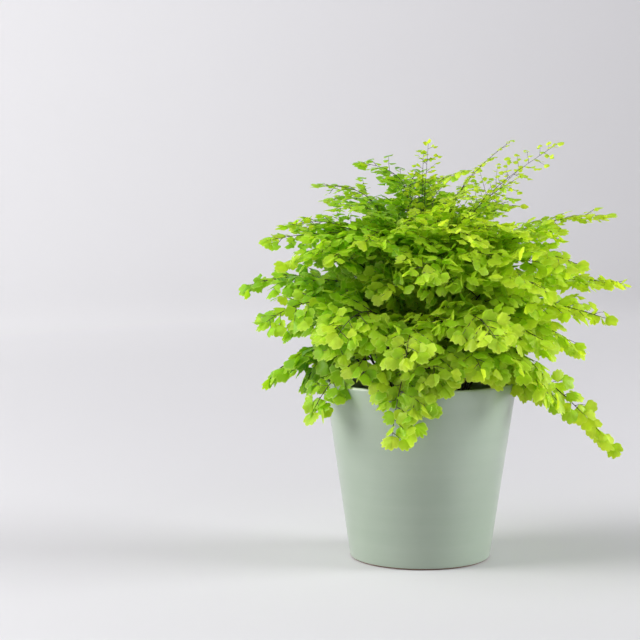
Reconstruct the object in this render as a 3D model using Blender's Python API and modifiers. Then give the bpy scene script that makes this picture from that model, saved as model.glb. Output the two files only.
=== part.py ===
"""A potted maidenhair fern: a tapered glazed cover pot, the plastic grow pot inside it, the root ball and
the fronds.

Metres, +Z up. The origin is the centre of the pot's flat underside. Azimuth 0 is +X, 90 is +Y (the back)
and 270 is the front.

Each frond is one solid: a thin wiry stalk that stands in a hole in the root ball, and a blade. The blade
is one arched sheet 0.75 mm thick: a narrow rib with side branches (pinnae), cut to the rib between
fan-shaped leaflets with notched edges. A branch that would cross another frond or the pot is turned or
shortened until it is clear.
"""
import math
import random
from collections import namedtuple

import bmesh
import bpy
from mathutils import Matrix, Quaternion, Vector
from mathutils.bvhtree import BVHTree
from mathutils.geometry import interpolate_bezier

MM = 0.001
UP = Vector((0, 0, 1))
DOWN = Vector((0, 0, -1))

# Cover pot
POT_TOP_RADIUS = 72.5 * MM
POT_BASE_RADIUS = 53 * MM
POT_HEIGHT = 135 * MM
POT_WALL = 3.5 * MM
POT_FLOOR = 5 * MM
POT_FOOT_ROUND = 2.5 * MM
POT_FLOOR_FILLET = 4 * MM
POT_SEGMENTS = 36

# Grow pot, standing on the cover pot's floor
TOUCH_GAP = 0.3 * MM
GROW_TOP_RADIUS = 59 * MM
GROW_BASE_RADIUS = 43 * MM
GROW_HEIGHT = 107 * MM
GROW_WALL = 0.9 * MM
GROW_RIM_WIDTH = 2.2 * MM
GROW_RIM_DEPTH = 6 * MM
DRAIN_RADIUS = 4.5 * MM
DRAIN_CIRCLE = 27 * MM
DRAIN_HOLES = 5
DRAIN_SIDES = 8
INNER_SEGMENTS = 24

# Root ball
SOIL_BELOW_RIM = 9 * MM
SOIL_MOUND = 6 * MM
HOLE_SIDES = 4

# Fronds
SEED = 4187
STALK_DEPTH = 10 * MM      # how deep a stalk stands in the root ball
STALK_COLLAR = 4 * MM      # the straight stretch just above it
STALK_RADIUS = 0.95 * MM
STALK_END_RADIUS = 0.7 * MM
STALK_LEAN = 0.12          # sideways pull of a stalk's start, as a share of its frond's reach
ARCH_END = 0.36            # length of a frond's arched end, as a share of its span
AXIS_POINTS = 65
STALK_POINTS = 5
RIB_WIDTH = 1.3 * MM
BRANCH_RIB_WIDTH = 1.2 * MM
RIB_START_WIDTH = 0.9 * MM
RIB_ROOT = 3 * MM          # how far the blade's rib runs down inside the stalk
BLADE_THICKNESS = 0.75 * MM
BLADE_ROLL = 22            # most that a blade leans over sideways, in degrees
LEAFLET_BASE = 1.5 * MM    # width of a leaflet where it joins its rib
CLEARANCE = 0.5 * MM       # kept between one frond and the next

# Habit of each kind of frond: foot circle, bare share of the length, longest branch, leaflet length,
# distance between leaflet pairs, sag of the branches and of the leaflets, number of branches, leaflet
# pairs at the tip
Habit = namedtuple("Habit", "foot bare branch leaflet pitch sag leaf_sag branches tip_pairs")
HABITS = {
    "skirt": Habit(31 * MM, 0.50, 35 * MM, 17.5 * MM, 17 * MM, 0.55, 0.45, 2, 2),
    "shoulder": Habit(22 * MM, 0.43, 47 * MM, 20 * MM, 18.5 * MM, 0.40, 0.50, 3, 2),
    "crown": Habit(13 * MM, 0.48, 46 * MM, 19 * MM, 17.5 * MM, 0.18, 0.32, 3, 2),
    "young": Habit(5 * MM, 0.60, 17 * MM, 8 * MM, 9 * MM, 0.10, 0.10, 2, 2),
}

# The fronds: azimuth, reach and height of the tip, rise of the stalk before it bends, droop of the tip
# below level in degrees, and the azimuth in which the stalk sets out when it isn't the tip's
Frond = namedtuple("Frond", "kind azimuth reach height rise droop lead")
FROND_TABLE = {
    "skirt": (
        (254, 93, 94, 96, 86, 262), (262, 92, 113, 92, 50, 318), (210, 99, 105, 80, 74, 214),
        (180, 120, 126, 78, 60, 182), (142, 110, 112, 80, 70, 146), (102, 112, 108, 80, 74, 106),
        (58, 108, 112, 78, 70, 66), (16, 92, 118, 80, 76, 28), (348, 151, 80, 86, 50, 350),
        (326, 114, 122, 78, 62, 330), (296, 94, 142, 74, 70, 300), (233, 88, 142, 78, 60, 238),
    ),
    "shoulder": (
        (261, 104, 152, 98, 74, 266), (297, 114, 166, 102, 52, 292), (233, 112, 168, 102, 56, 238),
        (203, 134, 176, 104, 40, 203), (171, 142, 200, 108, 22, 168), (137, 132, 186, 108, 36, 137),
        (103, 136, 174, 104, 44, 104), (68, 134, 188, 108, 38, 70), (34, 132, 198, 108, 30, 36),
        (4, 128, 148, 104, 46, 8), (350, 147, 180, 106, 18, 352), (319, 122, 200, 110, 40, 318),
    ),
    "crown": (
        (268, 90, 214, 130, 46, 262), (292, 94, 240, 138, 28, 300), (238, 90, 238, 136, 30, 232),
        (197, 112, 250, 138, 14, 196), (168, 52, 298, 150, -6, 170), (104, 70, 282, 150, 10, 110),
        (58, 104, 254, 140, 18, 64), (12, 166, 206, 124, 0, 24), (4, 148, 258, 132, 0, 350),
        (334, 130, 222, 130, 24, 330),
    ),
    "young": (
        (354, 104, 314, 150, -34, 350), (22, 84, 294, 150, -42, 30), (288, 14, 316, 150, -80, 270),
    ),
}

# Blades that don't lie level: the lean of the blade, in degrees
FROND_ROLLS = {"skirt_frond_09": 48, "young_frond_01": 60, "young_frond_02": 52}
# Fronds with shorter or longer branches: the share of the length on the left and on the right side
BRANCH_SHARES = {"skirt_frond_01": (0.6, 1.1), "skirt_frond_03": (0.8, 0.8), "skirt_frond_09": (0.6, 0.6)}

# Leaflet outlines as (share of the half angle, share of the length): fans with a notched outer edge
SIDE_FANS = (
    ((-1, 0.8), (-0.42, 1.0), (0.1, 0.9), (0.74, 0.98)),
    ((-0.78, 0.97), (-0.12, 0.88), (0.4, 1.0), (1, 0.8)),
    ((-0.95, 0.88), (0.05, 0.9), (0.8, 1.0)),
)
END_FAN = ((-0.95, 0.84), (-0.35, 1.0), (0.15, 0.9), (0.9, 0.92))
SIDE_HALF_ANGLE = math.radians(32)
END_HALF_ANGLE = math.radians(36)
LEAFLET_ANGLE = math.radians(70)   # between a rib and its leaflets
BRANCH_ANGLE = math.radians(58)    # between the main rib and its branches
BRANCH_TAPER = 0.35                # how much shorter the last branch is than the first could be
BRANCH_LIFT = (-0.15, 0.2)         # a branch's random rise
FIRST_BRANCH = 0.15                # where the first branch sits, in steps from one branch to the next
TIP_FIRST = 0.75                   # the same for the first leaflet pair of the tip
FIRST_PAIR = 0.3                   # least bare stretch of a branch, in leaflet lengths
LEAST_SIZE = 0.4                   # share of a leaflet's length that a shortened branch keeps at least
SHINGLE_ANGLE = math.radians(16)   # lifts each side leaflet's leading edge over the next leaflet
WING_DROP = 0.13                   # how far a leaflet's corners hang below its middle
PAIR_TAPER = 0.08                  # how much shorter each next pair of leaflets is

# Turns tried, in order, on a branch that would cross something: lift and roll in degrees, share of length
TURNS = tuple(
    (lift, roll, share)
    for share in (1.0, 0.85, 0.7, 0.55)
    for lift, roll in (
        (0, 0), (10, 0), (-10, 0), (0, 22), (0, -22), (20, 12), (-20, -12), (30, 0), (-30, 0),
        (14, -30), (-14, 30), (42, 20), (-42, -20), (55, 0),
    )
)


def clear_scene():
    for obj in list(bpy.data.objects):
        bpy.data.objects.remove(obj, do_unlink=True)


def new_collection(name):
    collection = bpy.data.collections.new(name)
    bpy.context.scene.collection.children.link(collection)
    return collection


def finish(name, colour, roughness, metallic=0.0):
    """A Principled material."""
    material = bpy.data.materials.new(name)
    material.use_nodes = True
    shader = material.node_tree.nodes["Principled BSDF"]
    shader.inputs["Base Color"].default_value = (*colour, 1)
    shader.inputs["Roughness"].default_value = roughness
    shader.inputs["Metallic"].default_value = metallic
    material.diffuse_color = (*colour, 1)
    return material


def add_object(name, mesh, collection, *materials):
    obj = bpy.data.objects.new(name, mesh)
    collection.objects.link(obj)
    for material in materials:
        mesh.materials.append(material)
    return obj


def arc(centre, radius, start, end, steps):
    """Points (x, z) on an arc, its angles in degrees from +X."""
    turns = (math.radians(start + (end - start) * i / steps) for i in range(steps + 1))
    return [(centre[0] + radius * math.cos(a), centre[1] + radius * math.sin(a)) for a in turns]


def turned(name, profile, segments, collection, material):
    """A turned solid: the profile (x, z) runs from the axis up the inside and down the outside."""
    mesh = bpy.data.meshes.new(name)
    edges = [(i, i + 1) for i in range(len(profile) - 1)]
    mesh.from_pydata([(x, 0, z) for x, z in profile], edges, [])
    obj = add_object(name, mesh, collection, material)
    screw = obj.modifiers.new("Turn", "SCREW")
    screw.steps = segments
    screw.render_steps = segments
    screw.use_merge_vertices = True
    screw.merge_threshold = 0.00001
    return obj


def pot_outer_radius(z):
    return POT_BASE_RADIUS + (POT_TOP_RADIUS - POT_BASE_RADIUS) * z / POT_HEIGHT


def pot_profile():
    lip = POT_WALL / 2
    foot = POT_FOOT_ROUND
    fillet = POT_FLOOR_FILLET
    inner_floor = pot_outer_radius(POT_FLOOR) - POT_WALL
    points = [(0, POT_FLOOR)]
    points += arc((inner_floor - fillet, POT_FLOOR + fillet), fillet, -90, 0, 2)
    points += arc((pot_outer_radius(POT_HEIGHT - lip) - lip, POT_HEIGHT - lip), lip, 180, 0, 4)
    points += arc((POT_BASE_RADIUS - foot, foot), foot, 0, -90, 2)
    points.append((0, 0))
    return points


def make_pot(collection):
    glaze = finish("sage_glaze", (0.42, 0.49, 0.41), 0.22)
    return turned("pot", pot_profile(), POT_SEGMENTS, collection, glaze)


def grow_pot_radius(z):
    """Outer radius of the grow pot at a height above its own base."""
    return GROW_BASE_RADIUS + (GROW_TOP_RADIUS - GROW_BASE_RADIUS) * z / GROW_HEIGHT


def make_grow_pot(collection, cutters):
    base = POT_FLOOR + TOUCH_GAP
    top = base + GROW_HEIGHT
    rim = GROW_TOP_RADIUS + GROW_RIM_WIDTH
    under_rim = grow_pot_radius(GROW_HEIGHT - GROW_RIM_DEPTH)
    profile = [
        (0, base + GROW_WALL),
        (GROW_BASE_RADIUS - GROW_WALL, base + GROW_WALL),
        (GROW_TOP_RADIUS - GROW_WALL, top),
        (rim, top),
        (rim, top - GROW_RIM_DEPTH),
        (under_rim, top - GROW_RIM_DEPTH),
        (GROW_BASE_RADIUS, base),
        (0, base),
    ]
    plastic = finish("black_plastic", (0.02, 0.02, 0.02), 0.5)
    pot = turned("grow_pot", profile, INNER_SEGMENTS, collection, plastic)
    for i in range(DRAIN_HOLES):
        turn = math.tau * i / DRAIN_HOLES
        place = Vector((math.cos(turn), math.sin(turn), 0)) * DRAIN_CIRCLE + UP * base
        add_cylinder(f"drain_cutter_{i}", DRAIN_RADIUS, 4 * GROW_WALL, DRAIN_SIDES, place, cutters)
    cut_out(pot, cutters)
    return pot


def add_cylinder(name, radius, height, sides, centre, collection):
    bm = bmesh.new()
    bmesh.ops.create_cone(
        bm, cap_ends=True, segments=sides, radius1=radius, radius2=radius, depth=height,
        matrix=Matrix.Translation(centre),
    )
    mesh = bpy.data.meshes.new(name)
    bm.to_mesh(mesh)
    bm.free()
    cutter = add_object(name, mesh, collection)
    cutter.hide_render = True
    cutter.display_type = "WIRE"
    return cutter


def cut_out(obj, cutters):
    """Cuts a collection of solids out of an object."""
    cut = obj.modifiers.new("Holes", "BOOLEAN")
    cut.operation = "DIFFERENCE"
    cut.operand_type = "COLLECTION"
    cut.collection = cutters
    cut.solver = "EXACT"


def soil_radius(z):
    """Radius of the root ball at a height above the ground."""
    return grow_pot_radius(z - POT_FLOOR - TOUCH_GAP) - GROW_WALL - TOUCH_GAP


def soil_edge():
    return POT_FLOOR + TOUCH_GAP + GROW_HEIGHT - SOIL_BELOW_RIM


def soil_height(radius):
    """Height of the root ball's mounded top at a distance from its axis."""
    share = radius / soil_radius(soil_edge())
    return soil_edge() + SOIL_MOUND * (1 - share * share)


def make_root_ball(collection, cutters, fronds):
    base = POT_FLOOR + TOUCH_GAP + GROW_WALL + TOUCH_GAP
    edge = soil_edge()
    rings = [soil_radius(edge) * share for share in (0.35, 0.7, 0.9, 1.0)]
    profile = [(0, soil_height(0))]
    profile += [(radius, soil_height(radius)) for radius in rings]
    profile += [(soil_radius(base), base), (0, base)]
    soil = finish("potting_soil", (0.05, 0.032, 0.02), 0.95)
    ball = turned("root_ball", profile, INNER_SEGMENTS, collection, soil)
    hole_radius = (STALK_RADIUS + TOUCH_GAP) / math.cos(math.pi / HOLE_SIDES)
    for name, frond in fronds.items():
        foot = frond_foot(frond)
        bottom = foot.z - STALK_DEPTH - TOUCH_GAP
        height = 2 * STALK_DEPTH
        add_cylinder(
            name.replace("frond", "stalk_hole"), hole_radius, height, HOLE_SIDES,
            Vector((foot.x, foot.y, bottom + height / 2)), cutters,
        )
    cut_out(ball, cutters)
    return ball


def toward(azimuth):
    turn = math.radians(azimuth)
    return Vector((math.cos(turn), math.sin(turn), 0))


def all_fronds():
    fronds = {}
    for kind, rows in FROND_TABLE.items():
        for i, (azimuth, reach, height, rise, droop, lead) in enumerate(rows, 1):
            name = f"{kind}_frond_{i:02d}"
            fronds[name] = Frond(kind, azimuth, reach * MM, height * MM, rise * MM, droop, lead)
    return fronds


def frond_foot(frond):
    """Where the stalk meets the top of the root ball."""
    place = toward(frond.lead) * HABITS[frond.kind].foot
    place.z = soil_height(place.length)
    return place


def frond_axis(frond):
    """Points along a frond's stalk and main rib, from the top of the straight collar to the tip."""
    start = frond_foot(frond) + UP * STALK_COLLAR
    tip = toward(frond.azimuth) * frond.reach + UP * frond.height
    droop = math.radians(frond.droop)
    last = toward(frond.azimuth) * math.cos(droop) + DOWN * math.sin(droop)
    span = (tip - start).length
    up_handle = start + UP * frond.rise + toward(frond.lead) * STALK_LEAN * frond.reach
    return interpolate_bezier(start, up_handle, tip - last * ARCH_END * span, tip, AXIS_POINTS)


class Path:
    """A polyline that can be read by its length."""

    def __init__(self, points):
        self.points = points
        self.marks = [0.0]
        for a, b in zip(points, points[1:]):
            self.marks.append(self.marks[-1] + (b - a).length)
        self.length = self.marks[-1]

    def segment(self, along):
        index = 0
        while index < len(self.marks) - 2 and self.marks[index + 1] < along:
            index += 1
        return index

    def at(self, along):
        i = self.segment(along)
        share = (along - self.marks[i]) / (self.marks[i + 1] - self.marks[i])
        return self.points[i].lerp(self.points[i + 1], share)

    def tangent(self, along):
        step = self.length / 40
        return (self.at(min(along + step, self.length)) - self.at(max(along - step, 0))).normalized()


def blade_side(path, along, azimuth, roll):
    """The direction across a frond's blade, level but for the frond's own roll."""
    forward = path.tangent(along)
    across = toward(azimuth - 90)
    across = (across - forward * across.dot(forward)).normalized()
    return Quaternion(forward, roll) @ across


class Sheet:
    """An open sheet of triangles that grows by strips and leaflets."""

    def __init__(self):
        self.points = []
        self.faces = []

    def add(self, point):
        self.points.append(point)
        return len(self.points) - 1

    def strip(self, edge, left, right):
        """Adds a rib segment from an edge to two new points, and gives their edge."""
        a, b = edge
        c = self.add(left)
        d = self.add(right)
        self.faces += [(a, b, d), (a, d, c)]
        return c, d

    def leaflet(self, edge, forward, length, fan, half_angle, shingle=0.0):
        """Adds a fan of triangles on an edge of the sheet, turned about its own middle like a shingle."""
        a, b = edge
        base = (self.points[a] + self.points[b]) / 2
        across = self.points[b] - self.points[a]
        across = (across - forward * across.dot(forward)).normalized()
        across = Quaternion(forward, shingle) @ across
        normal = across.cross(forward)
        rim = []
        for turn, share in fan:
            angle = turn * half_angle
            out = forward * math.cos(angle) + across * math.sin(angle)
            drop = WING_DROP * length * turn * turn
            rim.append(self.add(base + out * length * share - normal * drop))
        middle = len(rim) // 2
        for i in range(middle):
            self.faces.append((a, rim[i + 1], rim[i]))
        self.faces.append((a, b, rim[middle]))
        for i in range(middle, len(rim) - 1):
            self.faces.append((b, rim[i + 1], rim[i]))

    def normals(self):
        totals = [Vector() for _ in self.points]
        for a, b, c in self.faces:
            cross = (self.points[b] - self.points[a]).cross(self.points[c] - self.points[a])
            for i in (a, b, c):
                totals[i] += cross
        return [total.normalized() for total in totals]

    def tree(self, half_thickness, skip=0):
        """A search tree of the sheet with a thickness, without its first faces."""
        normals = self.normals()
        count = len(self.points)
        points = [p + n * half_thickness for p, n in zip(self.points, normals)]
        points += [p - n * half_thickness for p, n in zip(self.points, normals)]
        sheet = self.faces[skip:]
        faces = sheet + [(c + count, b + count, a + count) for a, b, c in sheet]
        for a, b in rim_edges(sheet):
            faces += [(a, b, b + count), (a, b + count, a + count)]
        return BVHTree.FromPolygons(points, faces)

    def join(self, other, edge):
        """Takes in another sheet whose first two points are an edge of this one."""
        index = list(edge) + [self.add(point) for point in other.points[2:]]
        self.faces += [tuple(index[i] for i in face) for face in other.faces]


def rim_edges(faces):
    """The edges that only one face has."""
    uses = {}
    for face in faces:
        for a, b in zip(face, face[1:] + face[:1]):
            key = (min(a, b), max(a, b))
            uses[key] = uses.get(key, 0) + 1
    return [edge for edge, count in uses.items() if count == 1]


class Space:
    """What is already taken by the pots, the stalks and the pieces of each frond's blade."""

    def __init__(self, fixed):
        self.fixed = fixed
        self.stalks = []
        self.blades = []

    def is_free(self, sheet, owner):
        """Whether a piece is clear. Its own frond's rib, where it starts, doesn't count."""
        half = BLADE_THICKNESS / 2 + CLEARANCE
        whole = sheet.tree(half)
        beyond_rib = sheet.tree(half, skip=2)
        others = self.fixed + [tree for tree, holder in self.stalks if holder != owner]
        if any(tree.overlap(whole) for tree in others):
            return False
        return not any(
            tree.overlap(beyond_rib if holder == owner else whole) for tree, holder in self.blades
        )


def tube_tree(path, radius, count=AXIS_POINTS - 1, sides=6):
    """A search tree of a plain tube round a path."""
    rings = []
    for i in range(count + 1):
        along = path.length * i / count
        forward = path.tangent(along)
        side = forward.orthogonal().normalized()
        other = forward.cross(side)
        turns = (math.tau * k / sides for k in range(sides))
        rings.append([path.at(along) + (side * math.cos(t) + other * math.sin(t)) * radius for t in turns])
    points = [point for ring in rings for point in ring]
    faces = []
    for i in range(count):
        for k in range(sides):
            a = i * sides + k
            b = i * sides + (k + 1) % sides
            faces += [(a, b, b + sides), (a, b + sides, a + sides)]
    return BVHTree.FromPolygons(points, faces)


def leafy_rib(base, frames, size, leaf_sag, draw):
    """A rib from a base edge: a pair of leaflets at each frame and one leaflet at its end."""
    sheet = Sheet()
    edge = (sheet.add(base[0]), sheet.add(base[1]))
    for i, (point, heading, level) in enumerate(frames):
        across = heading.cross(level)
        half = across * BRANCH_RIB_WIDTH / 2
        near = sheet.strip(edge, point - half, point + half)
        point = point + heading * LEAFLET_BASE
        edge = sheet.strip(near, point - half, point + half)
        length = size * (1 - PAIR_TAPER * i)
        for side, corners in ((-1, (near[0], edge[0])), (1, (edge[1], near[1]))):
            out = heading * math.cos(LEAFLET_ANGLE) + across * side * math.sin(LEAFLET_ANGLE)
            out = (out + DOWN * leaf_sag).normalized()
            fan = draw.choice(SIDE_FANS)
            sheet.leaflet(corners, out, length, fan, SIDE_HALF_ANGLE, side * SHINGLE_ANGLE)
    end = (heading + DOWN * leaf_sag).normalized()
    sheet.leaflet(edge, end, size, END_FAN, END_HALF_ANGLE)
    return sheet


def pair_stops(length, size, pitch):
    """Where the leaflet pairs of a side branch sit along it, the last just before its end leaflet."""
    first = FIRST_PAIR * size
    last = max(length - size - LEAFLET_BASE, first)
    pairs = max(1, round((length - size) / pitch))
    stops = [last - pitch * i for i in range(pairs)]
    return [stop for stop in reversed(stops) if stop >= first]


def branch(base, forward, normal, length, habit, size, draw):
    """A side branch that sags under its own weight."""
    frames = []
    point = (base[0] + base[1]) / 2
    travelled = 0.0
    for stop in pair_stops(length, size, habit.pitch):
        heading = (forward + DOWN * habit.sag * stop / length).normalized()
        level = (normal - heading * normal.dot(heading)).normalized()
        point = point + heading * (stop - travelled)
        frames.append((point, heading, level))
        travelled = stop
    return leafy_rib(base, frames, size, habit.leaf_sag, draw)


class Plant:
    """All the fronds, grown together so that none crosses another."""

    def __init__(self, fronds, pots):
        self.space = Space(pots)
        self.growing = []
        for name, frond in fronds.items():
            path = Path(frond_axis(frond))
            self.space.stalks.append((tube_tree(path, STALK_RADIUS), name))
            self.growing.append(GrowingFrond(name, frond, path))

    def grow(self):
        """Tips first, then the branches of all fronds in turn from the tip down."""
        for frond in self.growing:
            frond.grow_tip(self.space)
        for rank in range(max(len(frond.buds) for frond in self.growing)):
            for frond in self.growing:
                if rank < len(frond.buds):
                    frond.grow_branch(self.space, rank)


class GrowingFrond:
    """One frond's blade while it grows: its main rib, the buds of its branches and its sheet."""

    def __init__(self, name, frond, path):
        self.name = name
        self.frond = frond
        self.path = path
        self.habit = HABITS[frond.kind]
        self.draw = random.Random(f"{SEED} {name}")
        roll = self.draw.uniform(-BLADE_ROLL, BLADE_ROLL)
        self.roll = math.radians(FROND_ROLLS.get(name, roll))
        self.shares = BRANCH_SHARES.get(name, (1, 1))
        self.start = self.habit.bare * path.length
        self.sheet = Sheet()
        self.buds = []
        self.grow_rib()

    def frame(self, along):
        heading = self.path.tangent(along)
        across = blade_side(self.path, along, self.frond.azimuth, self.roll)
        return self.path.at(along), heading, across.cross(heading)

    def grow_rib(self):
        habit = self.habit
        tip_length = habit.leaflet + habit.pitch * (habit.tip_pairs - TIP_FIRST)
        self.tip_start = self.path.length - tip_length
        point, heading, level = self.frame(self.start - RIB_ROOT)
        half = heading.cross(level) * RIB_START_WIDTH / 2
        edge = (self.sheet.add(point - half), self.sheet.add(point + half))
        stretch = self.tip_start - self.start
        for i in range(habit.branches):
            share = (i + FIRST_BRANCH) / habit.branches
            edge = self.rib_step(edge, self.start + stretch * share)
            near = edge
            edge = self.rib_step(edge, self.start + stretch * share + LEAFLET_BASE)
            side = 1 if (i + len(self.name)) % 2 else -1
            corners = (edge[1], near[1]) if side > 0 else (near[0], edge[0])
            self.buds.insert(0, (corners, side, self.start + stretch * share, share))
        self.rib_end = edge

    def rib_step(self, edge, along):
        point, heading, level = self.frame(along)
        half = heading.cross(level) * RIB_WIDTH / 2
        return self.sheet.strip(edge, point - half, point + half)

    def grow_tip(self, space):
        """The end of the main rib, with its own leaflet pairs."""
        habit = self.habit
        corners = [self.sheet.points[i] for i in self.rib_end]
        state = self.draw.getstate()
        for _, roll, share in TURNS:
            self.draw.setstate(state)
            size = habit.leaflet * share
            pitch = (self.path.length - self.tip_start - size) / habit.tip_pairs
            frames = []
            for i in range(habit.tip_pairs):
                point, heading, level = self.frame(self.tip_start + pitch * (i + TIP_FIRST))
                frames.append((point, heading, Quaternion(heading, math.radians(roll)) @ level))
            piece = leafy_rib(corners, frames, size, habit.leaf_sag, self.draw)
            if self.settle(space, piece, self.rib_end):
                return
        print(self.name, "tip has no room")

    def grow_branch(self, space, rank):
        corners, side, along, share = self.buds[rank]
        base = [self.sheet.points[i] for i in corners]
        _, heading, level = self.frame(along)
        across = heading.cross(level) * side
        out = heading * math.cos(BRANCH_ANGLE) + across * math.sin(BRANCH_ANGLE)
        out = (out + UP * self.draw.uniform(*BRANCH_LIFT)).normalized()
        length = self.habit.branch * (1 - BRANCH_TAPER * share) * self.draw.uniform(0.9, 1.1)
        length *= self.shares[0 if side > 0 else 1]
        size = self.habit.leaflet * self.draw.uniform(0.92, 1.08)
        state = self.draw.getstate()
        for lift, roll, cut in TURNS:
            self.draw.setstate(state)
            axis = out.cross(level).normalized()
            forward = Quaternion(axis, math.radians(lift)) @ out
            normal = Quaternion(axis, math.radians(lift)) @ level
            normal = Quaternion(forward, math.radians(roll)) @ normal
            small = size * (LEAST_SIZE + (1 - LEAST_SIZE) * cut)
            sheet = branch(base, forward, normal, length * cut, self.habit, small, self.draw)
            if self.settle(space, sheet, corners):
                return
        print(self.name, "branch", rank, "has no room")

    def settle(self, space, sheet, edge):
        """Keeps a new piece of the blade if it is clear of everything else."""
        if not space.is_free(sheet, self.name):
            return False
        space.blades.append((sheet.tree(BLADE_THICKNESS / 2), self.name))
        self.sheet.join(sheet, edge)
        return True


def stalk_mesh(name, growing, material):
    """The wiry stalk, from the foot of its hole to just inside the blade's rib, as a tapered tube."""
    foot = frond_foot(growing.frond)
    points = [foot - UP * STALK_DEPTH]
    points += [growing.path.at(growing.start * i / STALK_POINTS) for i in range(STALK_POINTS + 1)]
    curve = bpy.data.curves.new(name, "CURVE")
    curve.dimensions = "3D"
    curve.bevel_depth = 1.0
    curve.bevel_resolution = 0
    curve.use_fill_caps = True
    spline = curve.splines.new("POLY")
    spline.points.add(len(points) - 1)
    for i, point in enumerate(points):
        spline.points[i].co = (*point, 1)
        taper = max(0, i - 1) / STALK_POINTS
        spline.points[i].radius = STALK_RADIUS + (STALK_END_RADIUS - STALK_RADIUS) * taper
    curve.materials.append(material)
    tube = bpy.data.objects.new(name, curve)
    bpy.context.scene.collection.objects.link(tube)
    mesh = bpy.data.meshes.new_from_object(tube.evaluated_get(bpy.context.evaluated_depsgraph_get()))
    bpy.data.objects.remove(tube)
    bm = bmesh.new()
    bm.from_mesh(mesh)
    bmesh.ops.remove_doubles(bm, verts=bm.verts, dist=0.00001)
    bmesh.ops.recalc_face_normals(bm, faces=bm.faces)
    bm.to_mesh(mesh)
    bm.free()
    return mesh


def blade_object(name, sheet, collection, material):
    """The blade as an open sheet with its thickness added."""
    mesh = bpy.data.meshes.new(name)
    mesh.from_pydata(sheet.points, [], sheet.faces)
    blade = add_object(name, mesh, collection, material)
    thick = blade.modifiers.new("Thickness", "SOLIDIFY")
    thick.thickness = BLADE_THICKNESS
    thick.offset = 0
    return blade


def make_frond(growing, collection, leaf, stalk):
    """One frond: its stalk and its blade, fused."""
    parts = new_collection("frond_parts")
    mesh = stalk_mesh(growing.name, growing, stalk)
    frond = bpy.data.objects.new(growing.name, mesh)
    collection.objects.link(frond)
    mesh.materials.append(leaf)
    blade_object(growing.name + "_blade", growing.sheet, parts, leaf)
    fuse = frond.modifiers.new("Fuse", "BOOLEAN")
    fuse.operation = "UNION"
    fuse.operand_type = "COLLECTION"
    fuse.collection = parts
    fuse.solver = "MANIFOLD"
    fused = bpy.data.meshes.new_from_object(frond.evaluated_get(bpy.context.evaluated_depsgraph_get()))
    frond.modifiers.clear()
    frond.data = fused
    for obj in list(parts.objects):
        bpy.data.objects.remove(obj, do_unlink=True)
    bpy.data.collections.remove(parts)
    return frond


def solid_tree(obj):
    return BVHTree.FromObject(obj, bpy.context.evaluated_depsgraph_get())


def main():
    clear_scene()
    collection = new_collection("potted_maidenhair_fern")
    drains = new_collection("drain_cutters")
    stalk_holes = new_collection("stalk_hole_cutters")
    fronds = all_fronds()
    pot = make_pot(collection)
    grow_pot = make_grow_pot(collection, drains)
    make_root_ball(collection, stalk_holes, fronds)
    bpy.context.view_layer.update()
    plant = Plant(fronds, [solid_tree(pot), solid_tree(grow_pot)])
    plant.grow()
    leaf = finish("maidenhair_leaf", (0.22, 0.42, 0.03), 0.5)
    stalk = finish("wiry_stalk", (0.03, 0.015, 0.01), 0.35)
    for growing in plant.growing:
        make_frond(growing, collection, leaf, stalk)


main()
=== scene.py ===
# %% [markdown]
# # A potted maidenhair fern
#
# A maidenhair fern in a tapered sage cover pot. The real plant is light and airy: wiry black stalks rise
# from a root ball in a plastic grow pot, arch outward, and carry thousands of small fan-shaped leaflets,
# each on a hair-thin stalklet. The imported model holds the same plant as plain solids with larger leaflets.
# This lesson dresses it: each frond solid gives way to a fine frond that grows along the same stalk, and
# the pots and the soil get finer turned shapes of the same size. All lengths are in metres.

# %% Load the frame
import math
import random
from collections import namedtuple

import bpy
import numpy as np
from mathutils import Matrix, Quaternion, Vector, noise
from mathutils.geometry import interpolate_bezier


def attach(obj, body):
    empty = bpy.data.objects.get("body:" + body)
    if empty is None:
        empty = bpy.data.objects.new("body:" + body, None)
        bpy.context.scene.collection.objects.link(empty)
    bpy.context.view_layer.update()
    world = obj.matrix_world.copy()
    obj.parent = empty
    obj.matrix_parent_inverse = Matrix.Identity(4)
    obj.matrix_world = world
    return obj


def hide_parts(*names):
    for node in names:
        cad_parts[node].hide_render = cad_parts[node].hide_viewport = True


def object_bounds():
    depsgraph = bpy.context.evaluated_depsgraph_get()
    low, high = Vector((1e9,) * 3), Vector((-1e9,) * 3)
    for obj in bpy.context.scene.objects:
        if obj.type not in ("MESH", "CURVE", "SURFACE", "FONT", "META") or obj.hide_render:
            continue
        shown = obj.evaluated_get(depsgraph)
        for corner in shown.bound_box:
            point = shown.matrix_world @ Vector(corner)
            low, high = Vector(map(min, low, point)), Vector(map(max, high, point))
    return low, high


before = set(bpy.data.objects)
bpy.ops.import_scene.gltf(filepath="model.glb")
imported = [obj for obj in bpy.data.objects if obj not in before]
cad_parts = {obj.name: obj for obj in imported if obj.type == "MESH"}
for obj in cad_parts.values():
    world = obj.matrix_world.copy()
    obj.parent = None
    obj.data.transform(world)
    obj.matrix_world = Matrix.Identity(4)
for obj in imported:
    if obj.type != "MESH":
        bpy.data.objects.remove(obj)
cad_low, cad_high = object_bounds()
MM = 0.001
UP = Vector((0, 0, 1))
DOWN = -UP
print("nodes:", len(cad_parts), "box:", [round(v, 4) for v in (*cad_low, *cad_high)])

# %% [markdown]
# ## Pieces and finishes
#
# Every piece rides on the one body of the plant, takes its materials, and hides the solid that it stands
# for. One helper does all three, so that no piece can be left without them.

# %% A helper for pieces
BODY = "root"


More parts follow.
